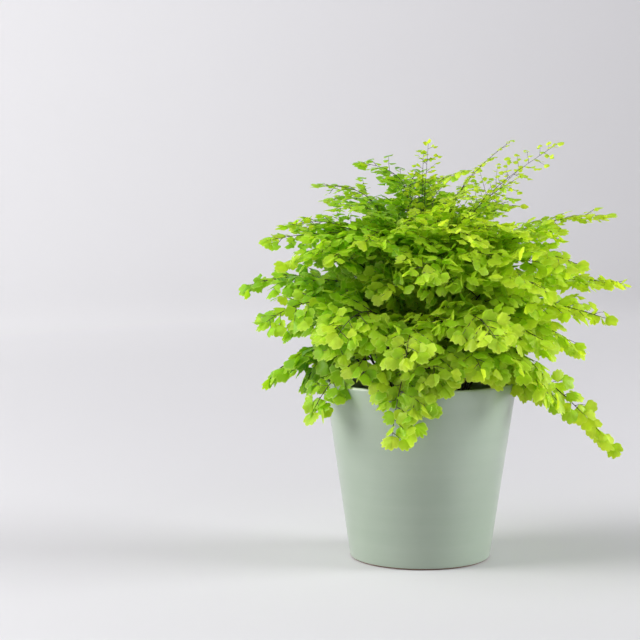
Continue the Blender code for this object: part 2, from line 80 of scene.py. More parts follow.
def add_piece(name, mesh, materials, nodes=()):
    """Puts a mesh in the scene as a piece of the plant."""
    obj = bpy.data.objects.new(name, mesh)
    bpy.context.scene.collection.objects.link(obj)
    for material in materials:
        mesh.materials.append(material)
    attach(obj, BODY)
    if nodes:
        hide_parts(*nodes)
    return obj


# %% [markdown]
# A procedural material is a small graph of nodes. Writing it out node by node is long, so this short
# helper makes a node, sets its sockets and links whatever socket it is given.

# %% A helper for material graphs
class Finish:
    """A material and the nodes that make it."""

    def __init__(self, name):
        self.material = bpy.data.materials.new(name)
        self.material.use_nodes = True
        self.tree = self.material.node_tree
        self.shader = self.tree.nodes["Principled BSDF"]
        self.output = self.tree.nodes["Material Output"]

    def add(self, kind, settings=None, **sockets):
        node = self.tree.nodes.new(kind)
        for key, value in (settings or {}).items():
            setattr(node, key, value)
        for key, value in sockets.items():
            self.set(node, key.replace("_", " "), value)
        return node

    def set(self, node, key, value):
        socket = node.inputs[int(key)] if key.isdigit() else node.inputs[key]
        if isinstance(value, bpy.types.NodeSocket):
            self.tree.links.new(value, socket)
        else:
            socket.default_value = value

    def principled(self, **sockets):
        for key, value in sockets.items():
            self.set(self.shader, key.replace("_", " "), value)

    def math(self, operation, a, b=0.0, clamp=False):
        node = self.tree.nodes.new("ShaderNodeMath")
        node.operation = operation
        node.use_clamp = clamp
        self.set(node, "0", a)
        self.set(node, "1", b)
        return node.outputs[0]

    def mix(self, share, a, b, blend="MIX"):
        node = self.tree.nodes.new("ShaderNodeMix")
        node.data_type = "RGBA"
        node.blend_type = blend
        self.set(node, "0", share)
        self.set(node, "6", a)
        self.set(node, "7", b)
        return node.outputs[2]

    def ramp(self, value, low, high, to_low=0.0, to_high=1.0):
        """A value mapped from one range to another, held at its ends."""
        node = self.tree.nodes.new("ShaderNodeMapRange")
        for i, number in enumerate((value, low, high, to_low, to_high)):
            self.set(node, str(i), number)
        return node.outputs[0]

    def noise(self, scale, detail=2.0, vector=None, roughness=0.5):
        node = self.add("ShaderNodeTexNoise", Scale=scale, Detail=detail, Roughness=roughness)
        self.set(node, "Vector", vector or self.place())
        return node.outputs[0]

    def place(self):
        """The point's place on the object, in metres."""
        return self.add("ShaderNodeTexCoord").outputs["Object"]

    def height(self):
        node = self.add("ShaderNodeSeparateXYZ", Vector=self.place())
        return node.outputs[2]

    def bump(self, value, distance, strength=1.0):
        return self.add("ShaderNodeBump", Height=value, Distance=distance, Strength=strength).outputs[0]


# %% [markdown]
# ## The cover pot
#
# The cover pot is thrown or cast ceramic: a plain taper, a thin rounded lip and a small round at the foot.
# A turned shape is a profile spun round an axis, which Blender's Screw modifier does. The solid of the
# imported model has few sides, so this one repeats its profile with many.

# %% Turn a profile
def arc(centre, radius, start, end, steps):
    """Points (x, z) on an arc, its angles in degrees from +X."""
    turns = (math.radians(start + (end - start) * i / steps) for i in range(steps + 1))
    return [(centre[0] + radius * math.cos(a), centre[1] + radius * math.sin(a)) for a in turns]


def subdivided(points, longest):
    """The same outline, with long straight runs cut into shorter ones."""
    result = [points[0]]
    for (x0, z0), (x1, z1) in zip(points, points[1:]):
        count = max(1, math.ceil(math.hypot(x1 - x0, z1 - z0) / longest))
        result += [(x0 + (x1 - x0) * i / count, z0 + (z1 - z0) * i / count) for i in range(1, count + 1)]
    return result


def turned_mesh(name, profile, segments):
    """The mesh of a profile turned round the axis: up the inside, then down the outside."""
    mesh = bpy.data.meshes.new(name + "_profile")
    mesh.from_pydata([(x, 0, z) for x, z in profile], [(i, i + 1) for i in range(len(profile) - 1)], [])
    obj = bpy.data.objects.new(name + "_profile", mesh)
    bpy.context.scene.collection.objects.link(obj)
    screw = obj.modifiers.new("Turn", "SCREW")
    screw.steps = segments
    screw.render_steps = segments
    screw.use_merge_vertices = True
    screw.merge_threshold = 0.00001
    screw.use_smooth_shade = True
    done = bpy.data.meshes.new_from_object(obj.evaluated_get(bpy.context.evaluated_depsgraph_get()))
    done.name = name
    bpy.data.objects.remove(obj)
    return done


# %% [markdown]
# The pot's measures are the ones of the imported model. The lip and the foot are arcs that meet the wall
# without a crease.

# %% Turn the cover pot
POT_TOP_RADIUS = 72.5 * MM
POT_BASE_RADIUS = 53 * MM
POT_HEIGHT = 135 * MM
POT_WALL = 3.5 * MM
POT_FLOOR = 5 * MM
POT_FOOT_ROUND = 2.5 * MM
POT_FLOOR_FILLET = 4 * MM
POT_SEGMENTS = 160
POT_RUN = 6 * MM            # longest straight run of its outline


def pot_outer_radius(z):
    return POT_BASE_RADIUS + (POT_TOP_RADIUS - POT_BASE_RADIUS) * z / POT_HEIGHT


def pot_profile():
    lip = POT_WALL / 2
    foot = POT_FOOT_ROUND
    fillet = POT_FLOOR_FILLET
    inner_floor = pot_outer_radius(POT_FLOOR) - POT_WALL
    points = [(0, POT_FLOOR)]
    points += arc((inner_floor - fillet, POT_FLOOR + fillet), fillet, -90, 0, 6)
    points += arc((pot_outer_radius(POT_HEIGHT - lip) - lip, POT_HEIGHT - lip), lip, 180, 0, 12)
    points += arc((POT_BASE_RADIUS - foot, foot), foot, 0, -90, 6)
    points.append((0, 0))
    return subdivided(points, POT_RUN)


pot_mesh = turned_mesh("cover_pot", pot_profile(), POT_SEGMENTS)
print("cover pot:", len(pot_mesh.polygons), "faces")

# %% [markdown]
# The glaze is a pale sage, glossy, and a little uneven: it gathers slightly darker in faint horizontal bands
# left by turning, and stops at the foot, where the bare reddish clay shows as a thin line. A paler band just
# under the top is a painted highlight along the lip. Two noises, one of them stretched sideways, and two
# height masks give all of it.

# %% Glaze the cover pot
SAGE = (0.330, 0.392, 0.318, 1)
SAGE_DEEP = (0.298, 0.362, 0.288, 1)
# Painted highlight: the paler sage of a thin band just under the top of the lip
LIP_HIGHLIGHT_SAGE = (0.62, 0.68, 0.58, 1)
BARE_CLAY = (0.17, 0.075, 0.045, 1)
LIP_HIGHLIGHT_DEPTHS = (1.6 * MM, 0.4 * MM)     # depths below the top between which the lip is painted paler, a painted highlight
CLAY_LINE = (1.3 * MM, 0.9 * MM)    # heights between which the glaze ends


def glaze_finish():
    finish = Finish("sage_glaze")
    stretched = finish.add("ShaderNodeMapping", Vector=finish.place(), Scale=(6, 6, 90)).outputs[0]
    bands = finish.noise(1.0, 3.0, stretched)
    cloud = finish.noise(28.0, 3.0)
    mottle = finish.math("ADD", finish.math("MULTIPLY", bands, 0.5), finish.math("MULTIPLY", cloud, 0.5))
    body = finish.mix(finish.ramp(mottle, 0.35, 0.65), SAGE, SAGE_DEEP)
    # Painted highlight: a thin band just under the top is mixed toward the paler sage
    lip = finish.ramp(finish.height(), *(POT_HEIGHT - depth for depth in LIP_HIGHLIGHT_DEPTHS))
    body = finish.mix(finish.math("MULTIPLY", lip, 0.7), body, LIP_HIGHLIGHT_SAGE)
    clay = finish.ramp(finish.height(), *CLAY_LINE)
    colour = finish.mix(clay, body, BARE_CLAY)
    finish.principled(Base_Color=colour, Roughness=finish.ramp(clay, 0, 1, 0.3, 0.85))
    finish.principled(Coat_Weight=0.35, Coat_Roughness=0.16, IOR=1.45)
    finish.principled(Normal=finish.bump(mottle, 0.25 * MM))
    return finish.material


add_piece("cover_pot", pot_mesh, [glaze_finish()], ["pot"])
print("glazed the cover pot")

# %% [markdown]
# ## The grow pot
#
# Inside stands the thin plastic pot that the fern was grown in. Only its rim can be seen between the
# stalks. It is turned in the same way, and the drain holes in its floor are cut by a Boolean.

# %% Turn the grow pot
TOUCH_GAP = 0.3 * MM
GROW_TOP_RADIUS = 59 * MM
GROW_BASE_RADIUS = 43 * MM
GROW_HEIGHT = 107 * MM
GROW_WALL = 0.9 * MM
GROW_RIM_WIDTH = 2.2 * MM
GROW_RIM_DEPTH = 6 * MM
GROW_RIM_ROUND = 0.4 * MM
GROW_RUN = 8 * MM           # longest straight run of its outline
DRAIN_RADIUS = 4.5 * MM
DRAIN_CIRCLE = 27 * MM
DRAIN_HOLES = 5
INNER_SEGMENTS = 120


def grow_pot_radius(z):
    """Outer radius of the grow pot at a height above its own base."""
    return GROW_BASE_RADIUS + (GROW_TOP_RADIUS - GROW_BASE_RADIUS) * z / GROW_HEIGHT


def grow_pot_profile():
    base = POT_FLOOR + TOUCH_GAP
    top = base + GROW_HEIGHT
    rim = GROW_TOP_RADIUS + GROW_RIM_WIDTH
    under_rim = grow_pot_radius(GROW_HEIGHT - GROW_RIM_DEPTH)
    round_off = GROW_RIM_ROUND
    points = [(0, base + GROW_WALL), (GROW_BASE_RADIUS - GROW_WALL, base + GROW_WALL)]
    points += arc((GROW_TOP_RADIUS - GROW_WALL + round_off, top - round_off), round_off, 180, 90, 3)
    points += arc((rim - round_off, top - round_off), round_off, 90, 0, 3)
    points += [(rim, top - GROW_RIM_DEPTH), (under_rim, top - GROW_RIM_DEPTH)]
    points += [(GROW_BASE_RADIUS, base), (0, base)]
    return subdivided(points, GROW_RUN)


def drain_cutter(i):
    turn = math.tau * i / DRAIN_HOLES
    place = (math.cos(turn) * DRAIN_CIRCLE, math.sin(turn) * DRAIN_CIRCLE, POT_FLOOR + TOUCH_GAP)
    depth = 4 * GROW_WALL
    bpy.ops.mesh.primitive_cylinder_add(vertices=32, radius=DRAIN_RADIUS, depth=depth, location=place)
    return bpy.context.object


def cut_drains(mesh):
    """The grow pot's mesh with its drain holes cut."""
    obj = bpy.data.objects.new("grow_pot_blank", mesh)
    bpy.context.scene.collection.objects.link(obj)
    cutters = [drain_cutter(i) for i in range(DRAIN_HOLES)]
    for cutter in cutters:
        cut = obj.modifiers.new("Drain", "BOOLEAN")
        cut.operation = "DIFFERENCE"
        cut.object = cutter
    done = bpy.data.meshes.new_from_object(obj.evaluated_get(bpy.context.evaluated_depsgraph_get()))
    for blank in (obj, *cutters):
        bpy.data.objects.remove(blank)
    return done


grow_mesh = cut_drains(turned_mesh("grow_pot", grow_pot_profile(), INNER_SEGMENTS))
grow_mesh.set_sharp_from_angle(angle=math.radians(35))
print("grow pot:", len(grow_mesh.polygons), "faces")

# %% [markdown]
# Grow pots are blow-moulded from black plastic: dull, faintly pebbled, dusty near the rim.

# %% Finish the grow pot
BLACK_PLASTIC = (0.012, 0.012, 0.013, 1)
POT_DUST = (0.06, 0.05, 0.04, 1)
DUST_HEIGHTS = (95 * MM, 112 * MM)


def plastic_finish():
    finish = Finish("black_plastic")
    dust = finish.math("MULTIPLY", finish.noise(90.0, 4.0), finish.ramp(finish.height(), *DUST_HEIGHTS))
    colour = finish.mix(dust, BLACK_PLASTIC, POT_DUST)
    pebble = finish.noise(900.0, 2.0)
    finish.principled(Base_Color=colour, Roughness=finish.ramp(dust, 0, 1, 0.42, 0.8))
    finish.principled(Normal=finish.bump(pebble, 0.1 * MM))
    return finish.material


add_piece("plastic_grow_pot", grow_mesh, [plastic_finish()], ["grow_pot"])
print("finished the grow pot")

# %% [markdown]
# ## Soil
#
# The root ball is peaty soil, mounded in the middle. Its form is turned, then its top is roughened by
# noise: a slow one for lumps and a quick one for crumbs. The real soil is loose crumbs and bark, so small
# irregular clods are scattered over the top, half sunk in it.

# %% Shape the root ball
SOIL_BELOW_RIM = 9 * MM
SOIL_MOUND = 6 * MM
SOIL_LUMP = 1.5 * MM
SOIL_RINGS = 36
SOIL_SEGMENTS = 140


def soil_radius(z):
    """Radius of the root ball at a height above the ground."""
    return grow_pot_radius(z - POT_FLOOR - TOUCH_GAP) - GROW_WALL - TOUCH_GAP


SOIL_EDGE = POT_FLOOR + TOUCH_GAP + GROW_HEIGHT - SOIL_BELOW_RIM


def soil_height(radius):
    """Height of the root ball's mounded top at a distance from its axis."""
    share = radius / soil_radius(SOIL_EDGE)
    return SOIL_EDGE + SOIL_MOUND * (1 - share * share)


def soil_profile():
    base = POT_FLOOR + 2 * TOUCH_GAP + GROW_WALL
    edge = soil_radius(SOIL_EDGE)
    radii = [edge * i / SOIL_RINGS for i in range(SOIL_RINGS + 1)]
    return [(r, soil_height(r)) for r in radii] + [(soil_radius(base), base), (0, base)]


def roughen(mesh):
    """Lumps and crumbs on the top of the soil, held still at its edge."""
    edge = soil_radius(SOIL_EDGE)
    for vertex in mesh.vertices:
        radius = vertex.co.xy.length
        if vertex.co.z < SOIL_EDGE - 1 * MM or radius > edge - 0.5 * MM:
            continue
        lumps = noise.noise(vertex.co * 90) + 0.5 * noise.noise(vertex.co * 320)
        vertex.co.z += SOIL_LUMP * lumps


soil_mesh = turned_mesh("root_ball", soil_profile(), SOIL_SEGMENTS)
roughen(soil_mesh)
print("soil:", len(soil_mesh.polygons), "faces")

# %% [markdown]
# The crumbs are small shapes with their corners pushed about. One low shape is made once, and each crumb
# is a turned, stretched and roughened copy of its points, all joined into the soil's own mesh. Joining in
# arrays is quick, and it keeps hundreds of crumbs in one piece.

# %% Gather many small shapes into one mesh
class Heap:
    """Points, faces and per-point values, gathered piece by piece into one mesh."""

    def __init__(self):
        self.points = []
        self.faces = []
        self.finishes = []
        self.count = 0
        self.values = {}

    def add(self, points, faces, finish=0, **values):
        """Adds a shape. Each value is one row per point, or one row for all of them."""
        points = np.asarray(points, dtype=float).reshape(-1, 3)
        self.points.append(points)
        self.faces += [tuple(i + self.count for i in face) for face in faces]
        self.finishes += [finish] * len(faces)
        self.count += len(points)
        for key, rows in values.items():
            rows = np.broadcast_to(np.asarray(rows, dtype=float), (len(points), 3))
            self.values.setdefault(key, []).append(rows)

    def drop_last(self):
        """Takes out the shape that was added last."""
        self.count -= len(self.points.pop())
        for rows in self.values.values():
            rows.pop()
        while self.faces and max(self.faces[-1]) >= self.count:
            self.faces.pop()
            self.finishes.pop()

    def mesh(self, name):
        mesh = bpy.data.meshes.new(name)
        mesh.from_pydata(np.concatenate(self.points).tolist(), [], self.faces)
        mesh.polygons.foreach_set("material_index", self.finishes)
        mesh.shade_smooth()
        for key, rows in self.values.items():
            layer = mesh.attributes.new(key, "FLOAT_VECTOR", "POINT")
            layer.data.foreach_set("vector", np.concatenate(rows).astype(np.float32).ravel())
        return mesh


# %% Scatter crumbs over the soil
CRUMBS = 900
CRUMB_SIZES = (0.5 * MM, 1.3 * MM)
CLOD_CHANCE, CLOD_SIZE = 0.08, 1.6      # how many crumbs are larger ones, and how much larger
SEED = 4187


def crumb_shape():
    """Points and faces of an eight-cornered lump with a raised middle to each side."""
    corners = [Vector((x, y, z)) for x in (-1, 1) for y in (-1, 1) for z in (-1, 1)]
    sides = ((-1, 0, 0), (1, 0, 0), (0, -1, 0), (0, 1, 0), (0, 0, -1), (0, 0, 1))
    middles = [Vector(side) * 1.45 for side in sides]
    rings = ((0, 1, 3, 2), (4, 6, 7, 5), (0, 4, 5, 1), (2, 3, 7, 6), (0, 2, 6, 4), (1, 5, 7, 3))
    faces = []
    for i, ring in enumerate(rings):
        faces += [(ring[k], ring[(k + 1) % 4], 8 + i) for k in range(4)]
    return corners + middles, faces


def scatter_crumbs(heap):
    draw = random.Random(f"{SEED} crumbs")
    shape, faces = crumb_shape()
    edge = soil_radius(SOIL_EDGE) - 2 * MM
    for _ in range(CRUMBS):
        radius = edge * math.sqrt(draw.random())
        turn = draw.uniform(0, math.tau)
        size = draw.uniform(*CRUMB_SIZES) * (CLOD_SIZE if draw.random() < CLOD_CHANCE else 1)
        height = soil_height(radius) + 0.3 * size
        place = Vector((radius * math.cos(turn), radius * math.sin(turn), height))
        axis = Vector([draw.gauss(0, 1) for _ in range(3)]).normalized()
        spin = Quaternion(axis, draw.uniform(0, math.tau))
        stretch = Vector([draw.uniform(0.6, 1.2) for _ in range(3)])
        points = [place + spin @ (p * stretch) * size * draw.uniform(0.8, 1.15) for p in shape]
        heap.add(points, faces)


def mesh_arrays(mesh):
    return [v.co[:] for v in mesh.vertices], [tuple(p.vertices) for p in mesh.polygons]


soil_heap = Heap()
soil_heap.add(*mesh_arrays(soil_mesh))
scatter_crumbs(soil_heap)
print("crumbs:", CRUMBS, "points in the soil:", soil_heap.count)

# %% [markdown]
# Moist peat is nearly black, with lighter fibres and bark in it. A cell texture gives each crumb its own
# brown, and a fine noise gives the grain between them.

# %% Finish the soil
DARK_PEAT = (0.016, 0.010, 0.007, 1)
BROWN_PEAT = (0.075, 0.045, 0.026, 1)
PEAT_FIBRE = (0.12, 0.08, 0.05, 1)


def soil_finish():
    finish = Finish("peat")
    cells = finish.add("ShaderNodeTexVoronoi", Scale=520.0, Vector=finish.place())
    pick = finish.add("ShaderNodeSeparateXYZ", Vector=cells.outputs["Color"]).outputs[0]
    brown = finish.mix(finish.ramp(pick, 0.3, 1.0), DARK_PEAT, BROWN_PEAT)
    grain = finish.noise(1400.0, 4.0)
    colour = finish.mix(finish.ramp(grain, 0.45, 0.75), brown, PEAT_FIBRE)
    finish.principled(Base_Color=colour, Roughness=0.92)
    finish.principled(Normal=finish.bump(finish.math("ADD", grain, pick), 0.5 * MM))
    return finish.material


root_ball = add_piece("soil", soil_heap.mesh("soil"), [soil_finish()], ["root_ball"])
print("soil piece:", len(root_ball.data.polygons), "faces")

# %% [markdown]
# ## How a frond grows
#
# A fern frond is a stalk that rises, arches and carries one flat blade. Its middle line is a Bezier curve
# with four controls: the foot in the soil, a handle straight above it, the tip, and a handle that sets how
# steeply the tip droops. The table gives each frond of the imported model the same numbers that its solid
# was made from, so each fine frond's stalk and main rib run where the solid's do. The branches and leaflets
# are its own.

# %% The table of fronds
# Habit of each kind of frond: radius of the circle of feet, bare share of the length, longest branch,
# leaflet length, step between branches, step between leaflets, sag of the branches and of the leaflets,
# how much smaller the leaflets are at the tip, thickness of the stalks
Habit = namedtuple("Habit", "foot bare branch leaflet step gap sag leaf_sag shrink stalk")
HABITS = {
    "skirt": Habit(31 * MM, 0.50, 38 * MM, 12.2 * MM, 6.4 * MM, 5.0 * MM, 0.55, 0.45, 0.12, 1.0),
    "shoulder": Habit(22 * MM, 0.43, 50 * MM, 11.8 * MM, 6.8 * MM, 5.0 * MM, 0.38, 0.50, 0.20, 1.0),
    "crown": Habit(13 * MM, 0.50, 48 * MM, 8.4 * MM, 6.4 * MM, 4.3 * MM, 0.20, 0.40, 0.30, 0.8),
    "young": Habit(5 * MM, 0.44, 34 * MM, 5.0 * MM, 6.2 * MM, 3.3 * MM, 0.10, 0.10, 0.15, 0.6),
}
# Each frond, in degrees and millimetres: the way it points, how far out and how high its tip is, how far its
# stalk rises before it arches, how steeply its tip droops, and the side of the root ball that it rises from
Frond = namedtuple("Frond", "kind azimuth reach height rise droop lead")
FROND_TABLE = {
    "skirt": (
        (254, 93, 94, 96, 86, 262), (262, 92, 113, 92, 50, 318), (210, 99, 105, 80, 74, 214),
        (180, 120, 126, 78, 60, 182), (142, 110, 112, 80, 70, 146), (102, 112, 108, 80, 74, 106),
        (58, 108, 112, 78, 70, 66), (16, 92, 118, 80, 76, 28), (348, 151, 80, 86, 50, 350),
        (326, 114, 122, 78, 62, 330), (296, 94, 142, 74, 70, 300), (233, 88, 142, 78, 60, 238),
    ),
    "shoulder": (
        (261, 104, 152, 98, 74, 266), (297, 114, 166, 102, 52, 292), (233, 112, 168, 102, 56, 238),
        (203, 134, 176, 104, 40, 203), (171, 142, 200, 108, 22, 168), (137, 132, 186, 108, 36, 137),
        (103, 136, 174, 104, 44, 104), (68, 134, 188, 108, 38, 70), (34, 132, 198, 108, 30, 36),
        (4, 128, 148, 104, 46, 8), (350, 147, 180, 106, 18, 352), (319, 122, 200, 110, 40, 318),
    ),
    "crown": (
        (268, 90, 214, 130, 46, 262), (292, 94, 240, 138, 28, 300), (238, 90, 238, 136, 30, 232),
        (197, 112, 250, 138, 14, 196), (168, 52, 298, 150, -6, 170), (104, 70, 282, 150, 10, 110),
        (58, 104, 254, 140, 18, 64), (12, 166, 206, 124, 0, 24), (4, 148, 258, 132, 0, 350),
        (334, 130, 222, 130, 24, 330),
    ),
    "young": (
        (354, 104, 314, 150, -34, 350), (22, 84, 294, 150, -42, 30), (288, 14, 316, 150, -80, 270),
    ),
}
print("rows of each kind:", {kind: len(rows) for kind, rows in FROND_TABLE.items()})

# %% The line of a frond
STALK_COLLAR = 4 * MM      # straight part of a stalk above the soil
STALK_LEAN = 0.12          # sideways pull of a stalk's start, as a share of its frond's reach
ARCH_END = 0.36            # length of a frond's arched end, as a share of its span
AXIS_POINTS = 65


def toward(azimuth):
    turn = math.radians(azimuth)
    return Vector((math.cos(turn), math.sin(turn), 0))


def frond_from_row(kind, azimuth, reach, height, rise, droop, lead):
    return Frond(kind, azimuth, reach * MM, height * MM, rise * MM, droop, lead)


def all_fronds():
    """The table's fronds by name, one for each frond solid."""
    return {f"{kind}_frond_{i:02d}": frond_from_row(kind, *row)
            for kind, rows in FROND_TABLE.items() for i, row in enumerate(rows, 1)}


def frond_foot(frond):
    """Where the stalk meets the top of the root ball."""
    place = toward(frond.lead) * HABITS[frond.kind].foot
    place.z = soil_height(place.length)
    return place


def frond_axis(frond):
    """Points along a frond's stalk and main rib, from the top of the straight collar to the tip."""
    start = frond_foot(frond) + UP * STALK_COLLAR
    tip = toward(frond.azimuth) * frond.reach + UP * frond.height
    droop = math.radians(frond.droop)
    last = toward(frond.azimuth) * math.cos(droop) + DOWN * math.sin(droop)
    span = (tip - start).length
    up_handle = start + UP * frond.rise + toward(frond.lead) * STALK_LEAN * frond.reach
    return interpolate_bezier(start, up_handle, tip - last * ARCH_END * span, tip, AXIS_POINTS)


FRONDS = all_fronds()
missing = [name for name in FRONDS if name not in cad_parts]
print("fronds:", len(FRONDS), "without a solid:", missing)

# %% [markdown]
# Leaflets and branches sit at measured steps along a stalk or a rib. So a line has to say where it is, and
# which way it goes, at any length from its start.

# %% A line that can be read by its length
class Path:
    """A polyline that can be read by its length."""

    def __init__(self, points):
        self.points = points
        self.marks = [0.0]
        for a, b in zip(points, points[1:]):
            self.marks.append(self.marks[-1] + (b - a).length)
        self.length = self.marks[-1]

    def segment(self, along):
        index = 0
        while index < len(self.marks) - 2 and self.marks[index + 1] < along:
            index += 1
        return index

    def at(self, along):
        i = self.segment(along)
        share = (along - self.marks[i]) / (self.marks[i + 1] - self.marks[i])
        return self.points[i].lerp(self.points[i + 1], share)

    def tangent(self, along):
        step = max(self.length / 40, 1 * MM)
        return (self.at(min(along + step, self.length)) - self.at(max(along - step, 0))).normalized()


def blade_side(path, along, azimuth, roll):
    """The direction across a frond's blade, level but for the frond's own roll."""
    forward = path.tangent(along)
    across = toward(azimuth - 90)
    across = (across - forward * across.dot(forward)).normalized()
    return Quaternion(forward, roll) @ across


print("longest frond:", round(max(Path(frond_axis(f)).length for f in FRONDS.values()) * 1000), "mm")

# %% [markdown]
# ## A leaflet
#
# A maidenhair leaflet is a wedge with a rounded outer edge, cut into a few shallow lobes. Leaflets along a
# branch are lopsided: the side toward the tip is longer. The one at the end is an even fan. It could be a
# flat card with a cut-out picture, but then its edge is no real shape. Here each one is a real mesh: rays
# fan out from the stalklet, rows cross them, the last row follows the lobes, and the middle rows give it
# room to cup and ripple. A leaflet is thinner than paper, so it is one sheet of faces.

# %% The leaflet's outline
LEAF_ROWS = (0.42, 0.76, 1.0)
SMALL_LEAF_ROWS = (0.55, 1.0)
SMALL_LEAF = 11 * MM                    # a leaflet shorter than this has fewer rows
LOBE_STEPS = 4
LOBE_EDGE = (1.0, 0.1, -0.25, 0.1)      # how deep each step of a lobe is cut, from one notch to the next
LOBE_DEPTHS = (0.07, 0.2)               # of the notches, as a share of the leaflet
LEAF_ROUND = 0.66                       # how round the outer edge is: 0 an arc about the base, 1 a circle


def leaflet_rays(draw, lobes, left, right):
    """Angle and length of each ray of a leaflet's outline, from its left side to its right."""
    count = lobes * LOBE_STEPS
    depths = [draw.uniform(*LOBE_DEPTHS) for _ in range(lobes + 1)]
    rays = []
    for i in range(count + 1):
        angle = -left + (left + right) * i / count
        reach = math.cos(angle) ** LEAF_ROUND
        cut = LOBE_EDGE[i % LOBE_STEPS] * depths[round(i / LOBE_STEPS)] * math.cos(angle)
        rays.append((angle, reach * (1 - cut)))
    return rays


def leaflet_faces(rays, rows):
    """Triangles of a fan: its base point, then one row of points after another."""
    faces = [(0, i + 1, i + 2) for i in range(rays - 1)]
    for row in range(rows - 1):
        start = 1 + row * rays
        for i in range(rays - 1):
            a, b = start + i, start + i + 1
            faces += [(a, a + rays, b + rays), (a, b + rays, b)]
    return faces


print("faces of a leaflet with four lobes:", len(leaflet_faces(4 * LOBE_STEPS + 1, len(LEAF_ROWS))))

# %% [markdown]
# The leaflet is placed by its base, the way it points and the way it faces. It cups a little, its tip
# curls down, and its edge ripples. Each point also keeps where it lies on the leaflet, which the material
# uses for veins and the painted highlight on the edges, and each leaflet keeps its age, which also carries
# painted shade and light, its tone and how deep it sits in the plant.

# %% Place a leaflet
LEAF_CUP = 0.16
LEAF_CURL = 0.12
LEAF_RIPPLE = 0.035
FEW_LOBES = 7 * MM                  # a leaflet shorter than this has three lobes
LOBE_COUNTS = (4, 5, 5, 6)
FAR_SPREAD = (68, 78)               # of a leaflet's long side, in degrees from its middle
NEAR_SPREAD = (46, 66)
LEAF, STALK = 0, 1                  # places of the two finishes on a frond


def add_leaflet(heap, draw, base, forward, normal, size, age_and_shade, depth, side=0):
    """Adds one leaflet to a frond's heap of shapes. Its side is 0 at the end of a branch, else -1 or 1."""
    across = forward.cross(normal).normalized()
    normal = across.cross(forward)
    lobes = 3 if size < FEW_LOBES else draw.choice(LOBE_COUNTS)
    far, near = (math.radians(draw.uniform(*spread)) for spread in (FAR_SPREAD, NEAR_SPREAD))
    left, right = (far, near) if side < 0 else (near, far)
    if side == 0:
        left = right = far
    rays = leaflet_rays(draw, lobes, left, right)
    cup = LEAF_CUP * draw.uniform(0.3, 1.5)
    curl = LEAF_CURL * draw.uniform(-0.3, 1.8)
    phase = draw.uniform(0, 6)
    rows = SMALL_LEAF_ROWS if size < SMALL_LEAF else LEAF_ROWS
    points, places = [base], [(0, 0, size)]
    for v in rows:
        for angle, reach in rays:
            u = angle / far
            lift = -cup * u * u * v - curl * v * v + LEAF_RIPPLE * v * v * math.sin(phase + 5 * u)
            out = forward * (math.cos(angle) * reach * v) + across * (math.sin(angle) * reach * v)
            points.append(base + (out + normal * lift) * size)
            places.append((angle, v, size))
    tone = draw.random()
    heap.add(points, leaflet_faces(len(rays), len(rows)), LEAF, place=places, tone=(age_and_shade, tone, depth))


trial_heap = Heap()
add_leaflet(trial_heap, random.Random(SEED), Vector((0, 0, 0)), DOWN, UP.orthogonal(), 12 * MM, 0, 1)
print("points of one leaflet:", trial_heap.count)

# %% [markdown]
# ## Stalks
#
# Maidenhair is named for its stalks: black, glossy and as thin as hair where they carry the leaflets. A
# curve with a bevel would make them too, but they share one mesh with the leaflets, so a short function
# lays rings of points round a line and joins them.

# %% Lay a tube along a line
def add_tube(heap, points, radii, sides=5):
    """Adds a tube round a line of points, closed at its far end."""
    rings, faces = [], []
    side = None
    for i, point in enumerate(points):
        forward = (points[min(i + 1, len(points) - 1)] - points[max(i - 1, 0)]).normalized()
        side = forward.orthogonal() if side is None else side - forward * side.dot(forward)
        side = side.normalized()
        other = forward.cross(side)
        turns = (math.tau * k / sides for k in range(sides))
        rings += [point + (side * math.cos(t) + other * math.sin(t)) * radii[i] for t in turns]
    for i in range(len(points) - 1):
        for k in range(sides):
            a, b = i * sides + k, i * sides + (k + 1) % sides
            faces += [(a, b, b + sides, a + sides)]
    faces.append(tuple(range((len(points) - 1) * sides, len(points) * sides)))
    faces.append(tuple(reversed(range(sides))))
    heap.add(rings, faces, STALK, place=(0, 0, 0), tone=(0, 0, 0))


add_tube(trial_heap, [Vector((0, 0, 0)), UP * MM], [MM, MM])
print("faces of that leaflet and a short tube:", len(trial_heap.faces))


# %% [markdown]
# ## Keeping clear of the pot
#
# Leaves rest on a pot's rim and hang outside it, but never pass through the wall. A leaflet that starts
# outside is pushed out to the wall, and one that starts inside is lifted until it lies on the rim.

# %% Clear the pot's wall
POT_GAP = 0.8 * MM
OVER_RIM = 12 * MM          # a rib that enters the wall no lower than this below the rim goes over the rim


def wall_state(point):
    """How a point lies to the pot's wall: 0 clear, otherwise the radius that clears it outside."""
    radius = point.xy.length
    outer = pot_outer_radius(max(point.z, 0)) + POT_GAP
    if point.z > POT_HEIGHT + POT_GAP or radius > outer or radius < outer - POT_WALL - 2 * POT_GAP:
        return 0
    return outer


def clear_of_wall(points):
    """The same line of points, lifted over the rim where it would enter the wall."""
    result = []
    for point in points:
        outer = wall_state(point)
        if outer and point.z > POT_HEIGHT - OVER_RIM and point.xy.length < outer:
            point = Vector((point.x, point.y, POT_HEIGHT + POT_GAP))
        result.append(point)
    return result


def clear_leaflet(points):
    """Moves a leaflet's points clear of the wall: outward if its base is outside, else up."""
    states = [wall_state(Vector(p)) for p in points]
    if not any(states):
        return
    base_radius = math.hypot(*points[0][:2])
    if base_radius > pot_outer_radius(points[0][2]) - POT_WALL / 2:
        for point, outer in zip(points, states):
            if outer:
                point[:2] *= outer / math.hypot(*point[:2])
    else:
        low = min(p[2] for p, outer in zip(points, states) if outer)
        points[:, 2] += POT_HEIGHT + POT_GAP - low


print("rim radius:", POT_TOP_RADIUS, "gap kept:", POT_GAP)

# %% [markdown]
# ## Where leaflets go and which way they face
#
# Every leaflet turns its face up and out, toward the light. The topmost ones get light from all round, and
# lie level in thin airy tiers. The dressed plant also keeps to the box of its solids: a leaflet that would
# reach more than a little past it isn't grown.

